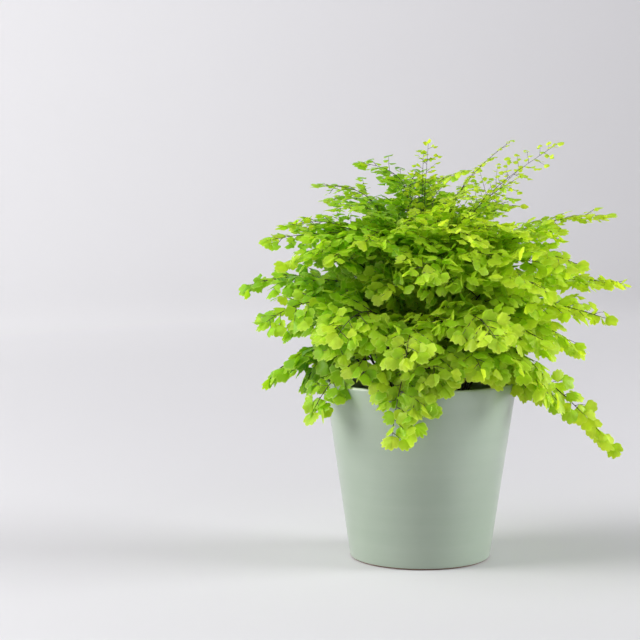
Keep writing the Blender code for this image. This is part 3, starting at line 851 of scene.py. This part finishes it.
# %% Turn a leaflet to the light
WINDOW = Vector((-0.25, -1.0, 0.7)).normalized()
WINDOW_PULL = 0.5
OUTWARD_PULL = 0.3
LEVEL_HEIGHTS = (222 * MM, 260 * MM)    # where leaflets start to lie level and where they all do
LEVEL_SHARE = 0.7                       # how much of a leaflet's own slope is gone up there


def how_high(point):
    """0 in the mass of the plant, 1 in its top, where leaflets lie level."""
    low, high = LEVEL_HEIGHTS
    return min(1.0, max(0.0, (point.z - low) / (high - low)))


def facing(point, level, high):
    """The way a leaflet faces: with its blade, a little outward, and toward the window's light."""
    outward = Vector((point.x, point.y, 0)).normalized()
    pull = outward * OUTWARD_PULL + WINDOW * WINDOW_PULL
    return ((level + pull) * (1 - LEVEL_SHARE * high) + UP * high).normalized()


for height in LEVEL_HEIGHTS:
    place = Vector((0, -0.1, height))
    tilt = math.degrees(facing(place, UP, how_high(place)).angle(UP))
    print("a front leaflet at", round(height / MM), "mm tilts", round(tilt), "degrees")

# %% Keep inside the plant's reach
BOX_SLACK = 0.012          # how far past the solids' box a leaflet may reach, as a share of its sides

cad_size = cad_high - cad_low
box_low = cad_low - cad_size * BOX_SLACK
box_high = cad_high + cad_size * BOX_SLACK


def in_box(points):
    low, high = np.min(points, axis=0), np.max(points, axis=0)
    return all(low[i] > box_low[i] and high[i] < box_high[i] for i in range(3))


print("slack past the solids in mm:", [round(v / MM, 1) for v in cad_size * BOX_SLACK])

# %% [markdown]
# ## A frond while it grows
#
# While it grows, a frond has its line, its blade's lean and its own seeded draw, so that each run gives
# the same plant. Fronds toward the brighter front right are painted younger and lighter than those behind,
# partly for their youth and partly as painted light on the lit side.

# %% Start a frond
BLADE_ROLL = 22            # most that a blade leans over sideways, in degrees
# Blades with a lean of their own, in degrees
FROND_ROLLS = {"skirt_frond_09": 48, "young_frond_01": 60, "young_frond_02": 52}
# Fronds with shorter branches on one side or on both: the share kept on the left and on the right side
BRANCH_SHARES = {"skirt_frond_01": (0.6, 1.1), "skirt_frond_03": (0.8, 0.8), "skirt_frond_09": (0.6, 0.6)}
YOUNG_AND_LIT_SIDE = 325           # azimuth of the youngest fronds and of the lit side painted lighter, in degrees
# The swing paints fronds toward the lit side younger and lighter, partly painted light
YOUTH, YOUTH_AND_LIGHT_SWING, YOUTH_SPREAD = 0.5, 0.34, 0.12


class Growing:
    """One frond while it grows into a heap of leaflets and tubes."""

    def __init__(self, name, frond, heap, width=1):
        self.name = name
        self.frond = frond
        self.heap = heap
        self.habit = HABITS[frond.kind]
        self.path = Path(frond_axis(frond))
        roll = random.Random(f"{SEED} {name}").uniform(-BLADE_ROLL, BLADE_ROLL)
        self.roll = math.radians(FROND_ROLLS.get(name, roll))
        self.shares = BRANCH_SHARES.get(name, (width, width))
        self.draw = random.Random(f"{SEED} {name} leaves")
        turn = math.radians(frond.azimuth - YOUNG_AND_LIT_SIDE)
        self.youth = self.draw.uniform(-YOUTH_SPREAD, YOUTH_SPREAD) + YOUTH + YOUTH_AND_LIGHT_SWING * math.cos(turn)
        self.leaflets = 0

    def frame(self, along):
        """The main rib's place and heading at a length, and the way its blade faces there."""
        heading = self.path.tangent(along)
        across = blade_side(self.path, along, self.frond.azimuth, self.roll)
        return self.path.at(along), heading, across.cross(heading)


trial = Growing("shoulder_frond_01", FRONDS["shoulder_frond_01"], Heap())
print("youth of one front frond:", round(trial.youth, 2))

# %% [markdown]
# Each leaflet hangs a little below its rib's direction, turns a few degrees of its own, and starts close
# over the rib, so that its stalklet is short. A leaflet inside the plant is given the older, darker colour,
# a painted shade of the mass around it, and one near the frond's tip is younger.

# %% Set a leaflet
STALKLET_RADIUS = 0.13 * MM
LEAF_LIFT = 0.5 * MM            # how far a leaflet's base stands off its rib
LEAF_BACKSET = (-0.04, 0.16)    # how far its base lies back over the rib, as a share of its length
LEAF_SAGS = (0.1, 1.2)          # least and most of its kind's sag
LEAF_TURN = 12                  # turn of its outer side away from the light, in degrees
LEAF_TURNS = (28, 16)           # how much leaflets' turns differ, below and above the level heights
CROWN_SIZES = (1.35, 1.12)      # of a crown frond's leaflets, below and above the level heights
SAG_LOST = 0.6                  # share of the sag that is gone above them
DEPTH_REACH, DEPTH_SQUASH = 150 * MM, 0.8
# INNER_PAINTED_SHADE: how much older and darker a leaflet is painted the deeper it sits, a painted shade
TIP_YOUTH, INNER_PAINTED_SHADE, MIDDLE_DEPTH, AGE_SPREAD = 0.25, 0.35, 0.72, 0.15


def between(pair, share):
    return pair[0] + (pair[1] - pair[0]) * share


def leaflet_depth(point):
    """0 in the middle of the plant's mass, 1 on its outside."""
    return min(1.0, Vector((point.x, point.y, (point.z - POT_HEIGHT) * DEPTH_SQUASH)).length / DEPTH_REACH)


def set_leaflet(growing, point, forward, level, size, share, side=0):
    """A leaflet on its stalklet, kept clear of the pot and inside the plant's reach."""
    draw, heap = growing.draw, growing.heap
    high = how_high(point)
    sag = growing.habit.leaf_sag * draw.uniform(*LEAF_SAGS) * (1 - SAG_LOST * high)
    forward = forward + DOWN * sag
    forward.z *= 1 - LEVEL_SHARE * high
    forward.normalize()
    turn = math.radians(side * LEAF_TURN * (1 - high) + draw.gauss(0, between(LEAF_TURNS, high)))
    if growing.frond.kind == "crown":
        size *= between(CROWN_SIZES, high)
    normal = Quaternion(forward, turn) @ facing(point, level, high)
    base = point + normal * LEAF_LIFT - forward * size * draw.uniform(*LEAF_BACKSET)
    depth = leaflet_depth(point)
    # Painted shade: a leaflet deep in the plant is pushed toward the old, darker colour
    age_and_shade = 1 - growing.youth - TIP_YOUTH * share + INNER_PAINTED_SHADE * (MIDDLE_DEPTH - depth)
    age_and_shade = min(1.0, max(0.0, age_and_shade + draw.uniform(-AGE_SPREAD, AGE_SPREAD)))
    add_leaflet(heap, draw, base, forward, normal, size, age_and_shade, depth, side)
    clear_leaflet(heap.points[-1])
    if not in_box(heap.points[-1]):
        heap.drop_last()
        return
    growing.leaflets += 1
    add_tube(heap, [point, Vector(heap.points[-1][0])], [STALKLET_RADIUS] * 2, 3)


print("depth of a leaflet over the rim:", round(leaflet_depth(Vector((POT_TOP_RADIUS, 0, POT_HEIGHT))), 2))

# %% [markdown]
# ## Growing the blade
#
# The blade is the same rule three times over. A rib carries side pieces alternately left and right, long
# ones near its start and short ones near its tip, and ends in a leaflet. On the main rib the side pieces
# are branches, on a branch they are twigs or leaflets, and on a twig they are leaflets. Branches sag under
# their own weight.

# %% Grow a branch and its twigs
RACHIS_RADIUS = 0.32 * MM
TWIG_RADIUS = 0.20 * MM
RIB_END = 0.75             # radius of a rib's end, as a share of a twig's
RIB_STEP = 3.5 * MM
RIB_SWAY = 0.25
RIB_SIDES = 4
LEAFLET_ANGLE, LEAFLET_ANGLE_SPREAD = 58, 12
LEAFLET_ROOM = 0.85        # how far a rib ends before its length, in leaflets
TWIG_SHARE = 0.46          # length of a twig, as a share of its branch
LEAST_TWIG = 1.15          # length of the shortest twig, in leaflets
BARE_CHANCE = 0.06         # how often a leaflet is missing from its place


def rib_line(growing, base, forward, level, reach):
    """Points along a sagging, slightly curved rib, and its heading at each of them."""
    count = max(2, round(reach / RIB_STEP))
    points, headings = [base], []
    sway = growing.draw.uniform(-RIB_SWAY, RIB_SWAY)
    for i in range(count):
        sag = DOWN * growing.habit.sag * i / count
        heading = (forward + sag + forward.cross(level) * sway * i / count).normalized()
        headings.append(heading)
        points.append(points[-1] + heading * reach / count)
    return clear_of_wall(points), headings + headings[-1:]


def grow_rib(growing, base, forward, level, length, share, rank):
    """A branch (rank 1) or a twig (rank 2): its line, its side pieces and its end leaflet."""
    habit, draw = growing.habit, growing.draw
    end_size = habit.leaflet * (1 - habit.shrink * share) * draw.uniform(0.75, 1.0)
    reach = max(length - end_size * LEAFLET_ROOM, 2 * MM)
    points, headings = rib_line(growing, base, forward, level, reach)
    count = len(points) - 1
    start = (RACHIS_RADIUS if rank == 1 else TWIG_RADIUS) * habit.stalk
    end = TWIG_RADIUS * RIB_END * habit.stalk
    radii = [start + (end - start) * i / count for i in range(count + 1)]
    add_tube(growing.heap, points, radii, RIB_SIDES)
    rib = Path(points)
    along, side = habit.gap * draw.uniform(0.5, 0.9), draw.choice((-1, 1))
    while along < rib.length - 1 * MM:
        heading = headings[min(int(along / rib.length * count), count)]
        normal = (level - heading * level.dot(heading)).normalized()
        grow_side(growing, rib.at(along), heading, normal, side, length, along / rib.length, share, rank)
        along += habit.gap * draw.uniform(0.8, 1.15)
        side = -side
    normal = (level - headings[-1] * level.dot(headings[-1])).normalized()
    set_leaflet(growing, points[-1], headings[-1], normal, end_size, share)


def grow_side(growing, point, heading, normal, side, length, along, share, rank):
    """A twig or a leaflet beside a rib, or nothing where a leaflet has dropped."""
    habit, draw = growing.habit, growing.draw
    angle = math.radians(LEAFLET_ANGLE + draw.uniform(-LEAFLET_ANGLE_SPREAD, LEAFLET_ANGLE_SPREAD))
    out = heading * math.cos(angle) + heading.cross(normal) * side * math.sin(angle)
    twig = length * TWIG_SHARE * (1 - along)
    if rank == 1 and twig > habit.leaflet * LEAST_TWIG:
        grow_rib(growing, point, out.normalized(), normal, twig, share, 2)
        return
    if draw.random() < BARE_CHANCE:
        return
    size = habit.leaflet * (1.1 - 0.3 * along) * (1 - habit.shrink * share)
    size *= draw.triangular(0.6, 1.15, 1.0)
    set_leaflet(growing, point, out.normalized(), normal, size, share, side)


grow_rib(trial, Vector((0, 0, 0.2)), UP.orthogonal(), UP, 40 * MM, 0, 1)
print("leaflets on one branch:", trial.leaflets)

# %% [markdown]
# The stalk stands in its hole in the soil and thins toward the tip. Its lower part is bare. Above that it
# carries branches that grow shorter toward the tip, then single leaflets.

# %% Grow a whole frond
STALK_DEPTH = 10 * MM      # how far a stalk stands in the soil
STALK_RADIUS = 0.95 * MM
STALK_STEPS = 34
STALK_SIDES = 7
STALK_TAPER = 0.7
TIP_ROOM = 0.9             # how far the stalk ends before the frond does, in leaflets
TIP_SIZE = 0.85            # size of the leaflet there
LAST_BRANCH = 0.7          # how near the tip the last side piece may be, in leaflets
BRANCH_ANGLE, BRANCH_ANGLE_SPREAD = 58, 8
BRANCH_RISE = (-0.25, 0.28)
BRANCH_ROLL = 0.3          # how much branches roll about their own line, in radians
BRANCH_TAPER = 0.6
LEAST_BRANCH = 1.25        # length of the shortest branch, in leaflets
CLOSER_TIPS = 0.35         # how much closer branches stand at the tip
LONE_STEP = 0.72           # step between single leaflets on a main rib, as a share of that on a branch


def grow_stalk(growing):
    foot = frond_foot(growing.frond)
    length = growing.path.length - growing.habit.leaflet * TIP_ROOM
    shares = [i / STALK_STEPS for i in range(STALK_STEPS + 1)]
    points = [foot - UP * STALK_DEPTH, foot]
    points += [growing.path.at(length * i / STALK_STEPS) for i in range(STALK_STEPS + 1)]
    start = STALK_RADIUS * growing.habit.stalk
    end = TWIG_RADIUS * growing.habit.stalk
    radii = [start, start] + [start + (end - start) * share ** STALK_TAPER for share in shares]
    add_tube(growing.heap, points, radii, STALK_SIDES)


def grow_branch(growing, along, side, share):
    """A side branch, or a single leaflet where a branch would be too short: then it is False."""
    habit, draw = growing.habit, growing.draw
    point, heading, level = growing.frame(along)
    across = heading.cross(level) * side
    angle = math.radians(BRANCH_ANGLE + draw.uniform(-BRANCH_ANGLE_SPREAD, BRANCH_ANGLE_SPREAD))
    out = heading * math.cos(angle) + across * math.sin(angle) + UP * draw.uniform(*BRANCH_RISE)
    out.normalize()
    level = Quaternion(out, draw.gauss(0, BRANCH_ROLL)) @ level
    length = habit.branch * (1 - share) ** BRANCH_TAPER * draw.uniform(0.85, 1.08)
    length *= growing.shares[0 if side > 0 else 1]
    if length < habit.leaflet * LEAST_BRANCH:
        set_leaflet(growing, point, out, level, habit.leaflet * draw.uniform(0.7, 0.95), share, side)
        return False
    grow_rib(growing, point, out, level, length, share, 1)
    return True


def grow_frond(growing):
    grow_stalk(growing)
    habit, length = growing.habit, growing.path.length
    start = habit.bare * length
    along, side = start, 1 if len(growing.name) % 2 else -1
    while along < length - habit.leaflet * LAST_BRANCH:
        share = (along - start) / (length - start)
        side = -side
        branched = grow_branch(growing, along, side, share)
        step = habit.step * (1 - CLOSER_TIPS * share) if branched else habit.gap * LONE_STEP
        along += step * growing.draw.uniform(0.8, 1.2)
    point, heading, level = growing.frame(length - habit.leaflet * TIP_ROOM)
    set_leaflet(growing, point, heading, level, habit.leaflet * TIP_SIZE, 1.0)


trial = Growing("shoulder_frond_01", FRONDS["shoulder_frond_01"], Heap())
grow_frond(trial)
print("leaflets on one frond:", trial.leaflets, "faces:", len(trial.heap.faces))

# %% [markdown]
# ## Leaf and stalk finishes
#
# A maidenhair leaflet is so thin that it glows when light comes from behind: a Translucent shader mixed
# with the Principled one does that. Its colour runs from clear lime on new leaflets to a deeper green on
# old ones, each leaflet a little off its neighbour. Fine veins fork from the base to the edge, and a paler
# band along the edge is a painted highlight. The veins are waves across the ray's angle, twice as many past
# the middle.

# %% Finish the leaves
LEAF_YOUNG = (0.66, 0.86, 0.055, 1)
LEAF_GROWN = (0.42, 0.74, 0.022, 1)
LEAF_OLD = (0.15, 0.42, 0.010, 1)
# Painted highlight: the paler lime along each leaflet's edge
LEAF_EDGE_HIGHLIGHT = (0.84, 0.95, 0.24, 1)
LEAF_VEIN = (0.5, 0.68, 0.05, 1)
LEAF_GLOW = 0.5                         # share of the light that passes through
GLOW_TINT = (1.25, 1.18, 0.6, 1)        # of that light, against the leaf's own colour
OWN_TONE = 0.55
VEIN_WAVES = (34.0, 68.0)               # below and past the middle of a leaflet, per radian
# EDGE_HIGHLIGHT_SHARE: how strongly the painted highlight on the edge shows
VEIN_SHARE, EDGE_HIGHLIGHT_SHARE = 0.22, 0.4
INNER_SHADE = 0.72


def leaf_finish():
    finish = Finish("maidenhair_leaf")
    tone = finish.add("ShaderNodeAttribute", {"attribute_name": "tone"}).outputs["Vector"]
    age_and_shade, own, depth = finish.add("ShaderNodeSeparateXYZ", Vector=tone).outputs
    place = finish.add("ShaderNodeAttribute", {"attribute_name": "place"}).outputs["Vector"]
    angle, row, _ = finish.add("ShaderNodeSeparateXYZ", Vector=place).outputs
    age_and_shade = finish.math("ADD", age_and_shade, finish.math("MULTIPLY", finish.math("SUBTRACT", own, 0.5), OWN_TONE))
    colour = finish.mix(finish.ramp(age_and_shade, 0.0, 0.55), LEAF_YOUNG, LEAF_GROWN)
    colour = finish.mix(finish.ramp(age_and_shade, 0.5, 1.1), colour, LEAF_OLD)
    # Painted shade: leaflets deep in the plant are darkened by INNER_SHADE, and a noise adds random patches
    # of tone
    shade = finish.ramp(depth, 0.25, 0.8, INNER_SHADE, 1.0)
    shade_and_patches = finish.math("MULTIPLY", shade, finish.ramp(finish.noise(160.0, 3.0), 0.3, 0.7, 0.88, 1.1))
    grey = finish.add("ShaderNodeCombineXYZ", X=shade_and_patches, Y=shade_and_patches, Z=shade_and_patches).outputs[0]
    colour = finish.mix(1.0, colour, grey, "MULTIPLY")
    wide, fine = (finish.math("SINE", finish.math("MULTIPLY", angle, waves)) for waves in VEIN_WAVES)
    veins = finish.add("ShaderNodeMix", {"data_type": "FLOAT"})
    for key, value in (("0", finish.ramp(row, 0.4, 0.6)), ("2", wide), ("3", fine)):
        finish.set(veins, key, value)
    vein = finish.ramp(veins.outputs[0], 0.55, 1.0)
    colour = finish.mix(finish.math("MULTIPLY", vein, VEIN_SHARE), colour, LEAF_VEIN)
    # Painted highlight: the outermost rows of each leaflet are mixed toward the paler lime
    edge = finish.math("MULTIPLY", finish.ramp(row, 0.86, 1.0), EDGE_HIGHLIGHT_SHARE)
    colour = finish.mix(edge, colour, LEAF_EDGE_HIGHLIGHT)
    bump = finish.bump(vein, 0.12 * MM, 0.6)
    finish.principled(Base_Color=colour, Roughness=0.34, Specular_IOR_Level=0.35, Normal=bump)
    glow = finish.mix(1.0, colour, GLOW_TINT, "MULTIPLY")
    through = finish.add("ShaderNodeBsdfTranslucent", Color=glow, Normal=bump).outputs[0]
    both = finish.add("ShaderNodeMixShader", Fac=LEAF_GLOW)
    finish.set(both, "1", finish.shader.outputs[0])
    finish.set(both, "2", through)
    finish.set(finish.output, "Surface", both.outputs[0])
    return finish.material


leaf_material = leaf_finish()
print("leaf nodes:", len(leaf_material.node_tree.nodes))

# %% [markdown]
# The stalks are near black with a brown warmth, and polished, so their roughness is low. A noise varies
# the brown and breaks the shine.

# %% Finish the stalks
STALK_BLACK = (0.012, 0.006, 0.004, 1)
STALK_BROWN = (0.050, 0.020, 0.010, 1)


def stalk_finish():
    finish = Finish("wiry_stalk")
    warm = finish.noise(260.0, 3.0)
    colour = finish.mix(finish.ramp(warm, 0.35, 0.7), STALK_BLACK, STALK_BROWN)
    finish.principled(Base_Color=colour, Roughness=0.28, Normal=finish.bump(warm, 0.05 * MM))
    return finish.material


stalk_material = stalk_finish()
print("stalk nodes:", len(stalk_material.node_tree.nodes))

# %% [markdown]
# ## All the fronds
#
# Each frond becomes one piece, which stands for its solid. The real plant has more fronds than the packed
# model, so most pieces also carry a companion that rises beside their frond, and many carry further ones
# that fill the plant between the others. Six have no companion, and three of those hold one frond only.

# %% Grow all the fronds
# Pieces without a companion
LONE_FRONDS = ("skirt_frond_01", "skirt_frond_02", "skirt_frond_03", "skirt_frond_09", "skirt_frond_12",
               "crown_frond_05")
# More fronds in a piece, by its name: width, then the numbers of a frond of the table
FILLERS = {
    "skirt_frond_01": ((0.6, 268, 84, 118, 86, 70, 276), (0.4, 244, 84, 124, 84, 72, 250)),
    "skirt_frond_05": ((0.9, 160, 108, 130, 80, 64, 162),),
    "skirt_frond_06": ((0.9, 122, 106, 126, 80, 68, 124), (0.9, 84, 106, 122, 80, 68, 86)),
    "skirt_frond_07": ((0.9, 36, 102, 126, 80, 66, 44),),
    "skirt_frond_09": ((0.6, 344, 112, 112, 84, 52, 346),),
    "skirt_frond_10": (
        (0.7, 308, 92, 138, 76, 64, 312), (0.6, 334, 96, 128, 80, 60, 338),
        (0.8, 330, 108, 134, 82, 56, 332),
    ),
    "skirt_frond_11": ((0.6, 284, 86, 137, 76, 62, 290),),
    "shoulder_frond_01": ((0.8, 277, 80, 172, 98, 56, 279),),
    "shoulder_frond_06": ((1.0, 152, 116, 158, 100, 56, 152),),
    "shoulder_frond_07": ((1.0, 118, 120, 164, 102, 52, 118),),
    "shoulder_frond_08": ((1.0, 86, 118, 156, 100, 54, 86),),
    "shoulder_frond_09": ((1.0, 50, 120, 164, 102, 48, 52),),
    "shoulder_frond_10": ((1.0, 20, 116, 168, 102, 44, 22),),
    "shoulder_frond_12": ((0.8, 338, 104, 152, 100, 50, 338),),
    "crown_frond_01": ((1.0, 255, 70, 250, 140, 22, 255),),
    "crown_frond_02": ((1.0, 300, 66, 272, 142, 8, 300), (1.0, 306, 88, 226, 108, 30, 308)),
    "crown_frond_03": (
        (1.0, 222, 96, 226, 130, 34, 222), (1.0, 214, 84, 262, 138, 16, 212),
        (1.0, 244, 66, 200, 92, 44, 244),
    ),
    "crown_frond_04": (
        (1.0, 205, 118, 222, 128, 26, 205), (1.0, 186, 122, 238, 132, 16, 190),
        (1.0, 205, 74, 196, 94, 38, 205), (0.9, 182, 84, 280, 144, 4, 182),
    ),
    "crown_frond_05": ((1.0, 150, 84, 268, 142, 12, 152), (1.0, 160, 94, 226, 130, 30, 160)),
    "crown_frond_06": (
        (1.0, 62, 64, 286, 146, 4, 60), (1.0, 130, 92, 222, 128, 34, 130),
        (1.0, 92, 96, 232, 132, 28, 92), (0.9, 108, 48, 276, 144, 18, 108),
    ),
    "crown_frond_07": ((1.0, 32, 94, 262, 138, 14, 34), (1.0, 62, 88, 218, 126, 36, 62)),
    "crown_frond_08": ((1.0, 330, 80, 200, 96, 34, 336),),
    "crown_frond_10": ((1.0, 318, 98, 246, 134, 22, 316), (1.0, 345, 110, 240, 132, 16, 345)),
    "young_frond_01": ((0.8, 350, 78, 290, 140, -30, 345),),
    "young_frond_02": ((0.8, 10, 62, 276, 136, -36, 20),),
}


def companion(frond, draw):
    """A frond that rises from beside another one and keeps near it."""
    return frond._replace(
        azimuth=frond.azimuth + draw.choice((-1, 1)) * draw.uniform(10, 24),
        reach=frond.reach * draw.uniform(0.7, 0.92),
        height=frond.height + draw.uniform(-22, 6) * MM,
        rise=frond.rise * draw.uniform(0.92, 1.04),
        droop=frond.droop + draw.uniform(-10, 8),
        lead=frond.lead + draw.uniform(-14, 14),
    )


def others_beside(name, frond):
    """The fronds that share a piece with a frond of the table, and how wide each one is."""
    if name not in LONE_FRONDS:
        yield companion(frond, random.Random(f"{SEED} {name} companion 0")), 1.0
    for width, *row in FILLERS.get(name, ()):
        yield frond_from_row(frond.kind, *row), width


leaflets = triangles = 0
for name, frond in FRONDS.items():
    heap = Heap()
    growing = [Growing(name, frond, heap)]
    growing += [Growing(f"{name} {i}", other, heap, width)
                for i, (other, width) in enumerate(others_beside(name, frond))]
    for one in growing:
        grow_frond(one)
    add_piece("fine_" + name, heap.mesh(name), [leaf_material, stalk_material], [name])
    leaflets += sum(one.leaflets for one in growing)
    triangles += sum(len(face) - 2 for face in heap.faces)
print("leaflets:", leaflets, "triangles:", triangles)

# %% [markdown]
# ## Floor, light and camera
#
# The plant stands in a plain pale studio. The floor rises far away into a wall all round, so there is no
# edge to see from any side. The wall glows a little of its own, as if lamps stood behind the paper. A soft
# light on each side gives the pot its two bright bands, and one above fills the leaves.

# %% The studio
STUDIO_FLOOR = 2.6
STUDIO_BEND = 1.2
STUDIO_TOP = 3.4
STUDIO_SEGMENTS = 96
PAPER = (0.65, 0.645, 0.665, 1)
STUDIO_GLOW = (0.50, 0.07)     # of the wall at its left and at its right
FRONT_GLOW = 0.40              # of the wall in front, as a share of the wall behind
GLOW_REACH = (0.3, 1.9)        # distances from the pot at which the glow starts and is full
GLOW_COLOUR = (1.0, 0.99, 1.0, 1)


def studio_finish():
    """Paper with a glow that grows with the distance, fades to the right and is weaker in front."""
    finish = Finish("studio_paper")
    finish.principled(Base_Color=PAPER, Roughness=0.9)
    place = finish.place()
    across, back, _ = finish.add("ShaderNodeSeparateXYZ", Vector=place).outputs
    distance = finish.add("ShaderNodeVectorMath", {"operation": "LENGTH"}, Vector=place).outputs["Value"]
    glow = finish.ramp(across, -1.6, 1.6, *STUDIO_GLOW)
    glow = finish.math("MULTIPLY", glow, finish.ramp(distance, *GLOW_REACH))
    glow = finish.math("MULTIPLY", glow, finish.ramp(back, -2.0, 1.0, FRONT_GLOW, 1.0))
    finish.principled(Emission_Color=GLOW_COLOUR, Emission_Strength=glow)
    return finish.material


studio_profile = [(0.0, 0.0)] + [(STUDIO_FLOOR * i / 10, 0.0) for i in range(1, 11)]
studio_profile += arc((STUDIO_FLOOR, STUDIO_BEND), STUDIO_BEND, -90, 0, 24)[1:]
studio_profile.append((STUDIO_FLOOR + STUDIO_BEND, STUDIO_TOP))
studio_mesh = turned_mesh("studio", studio_profile, STUDIO_SEGMENTS)
studio_mesh.materials.append(studio_finish())
studio = bpy.data.objects.new("studio", studio_mesh)
bpy.context.scene.collection.objects.link(studio)
print("studio:", len(studio_mesh.polygons), "faces")

# %% [markdown]
# Three large area lights, all turned to the middle of the plant, and a faint light from all round.

# %% The lights
LIGHT_TARGET = Vector((0, 0, 0.15))
AIR_COLOUR = (0.92, 0.92, 0.96, 1)
AIR_STRENGTH = 0.17


def soft_light(name, place, size, power, colour=(1, 1, 1)):
    data = bpy.data.lights.new(name, "AREA")
    data.shape = "RECTANGLE"
    data.size, data.size_y = size
    data.energy = power
    data.color = colour
    light = bpy.data.objects.new(name, data)
    light.location = place
    light.rotation_euler = (LIGHT_TARGET - Vector(place)).to_track_quat("-Z", "Y").to_euler()
    bpy.context.scene.collection.objects.link(light)


soft_light("left_softbox", (-1.95, -0.40, 0.85), (1.1, 1.3), 37, (1.0, 0.99, 0.97))
soft_light("right_softbox", (2.05, -0.15, 0.65), (1.1, 0.8), 48, (0.98, 0.99, 1.0))
soft_light("top_softbox", (-0.9, -0.2, 1.4), (1.2, 1.2), 10.0)

world = bpy.data.worlds.new("studio_air")
world.use_nodes = True
world.node_tree.nodes["Background"].inputs["Color"].default_value = AIR_COLOUR
world.node_tree.nodes["Background"].inputs["Strength"].default_value = AIR_STRENGTH
bpy.context.scene.world = world
bpy.context.scene.view_settings.view_transform = "Standard"
print("lights:", [o.name for o in bpy.context.scene.objects if o.type == "LIGHT"])

# %% [markdown]
# A long lens, level with the top of the plant and tipped a little down, keeps the pot's sides nearly
# straight and shows a sliver of its inner wall.

# %% The camera
CAMERA_PLACE = (-0.0759, -1.45, 0.318)
CAMERA_TILT = 5.45
CAMERA_LENS = 109

camera_data = bpy.data.cameras.new("camera")
camera_data.lens = CAMERA_LENS
camera_data.sensor_width = 36
camera = bpy.data.objects.new("camera", camera_data)
camera.location = CAMERA_PLACE
camera.rotation_euler = (math.radians(90 - CAMERA_TILT), 0, 0)
bpy.context.scene.collection.objects.link(camera)
bpy.context.scene.camera = camera
print("camera at", CAMERA_PLACE)
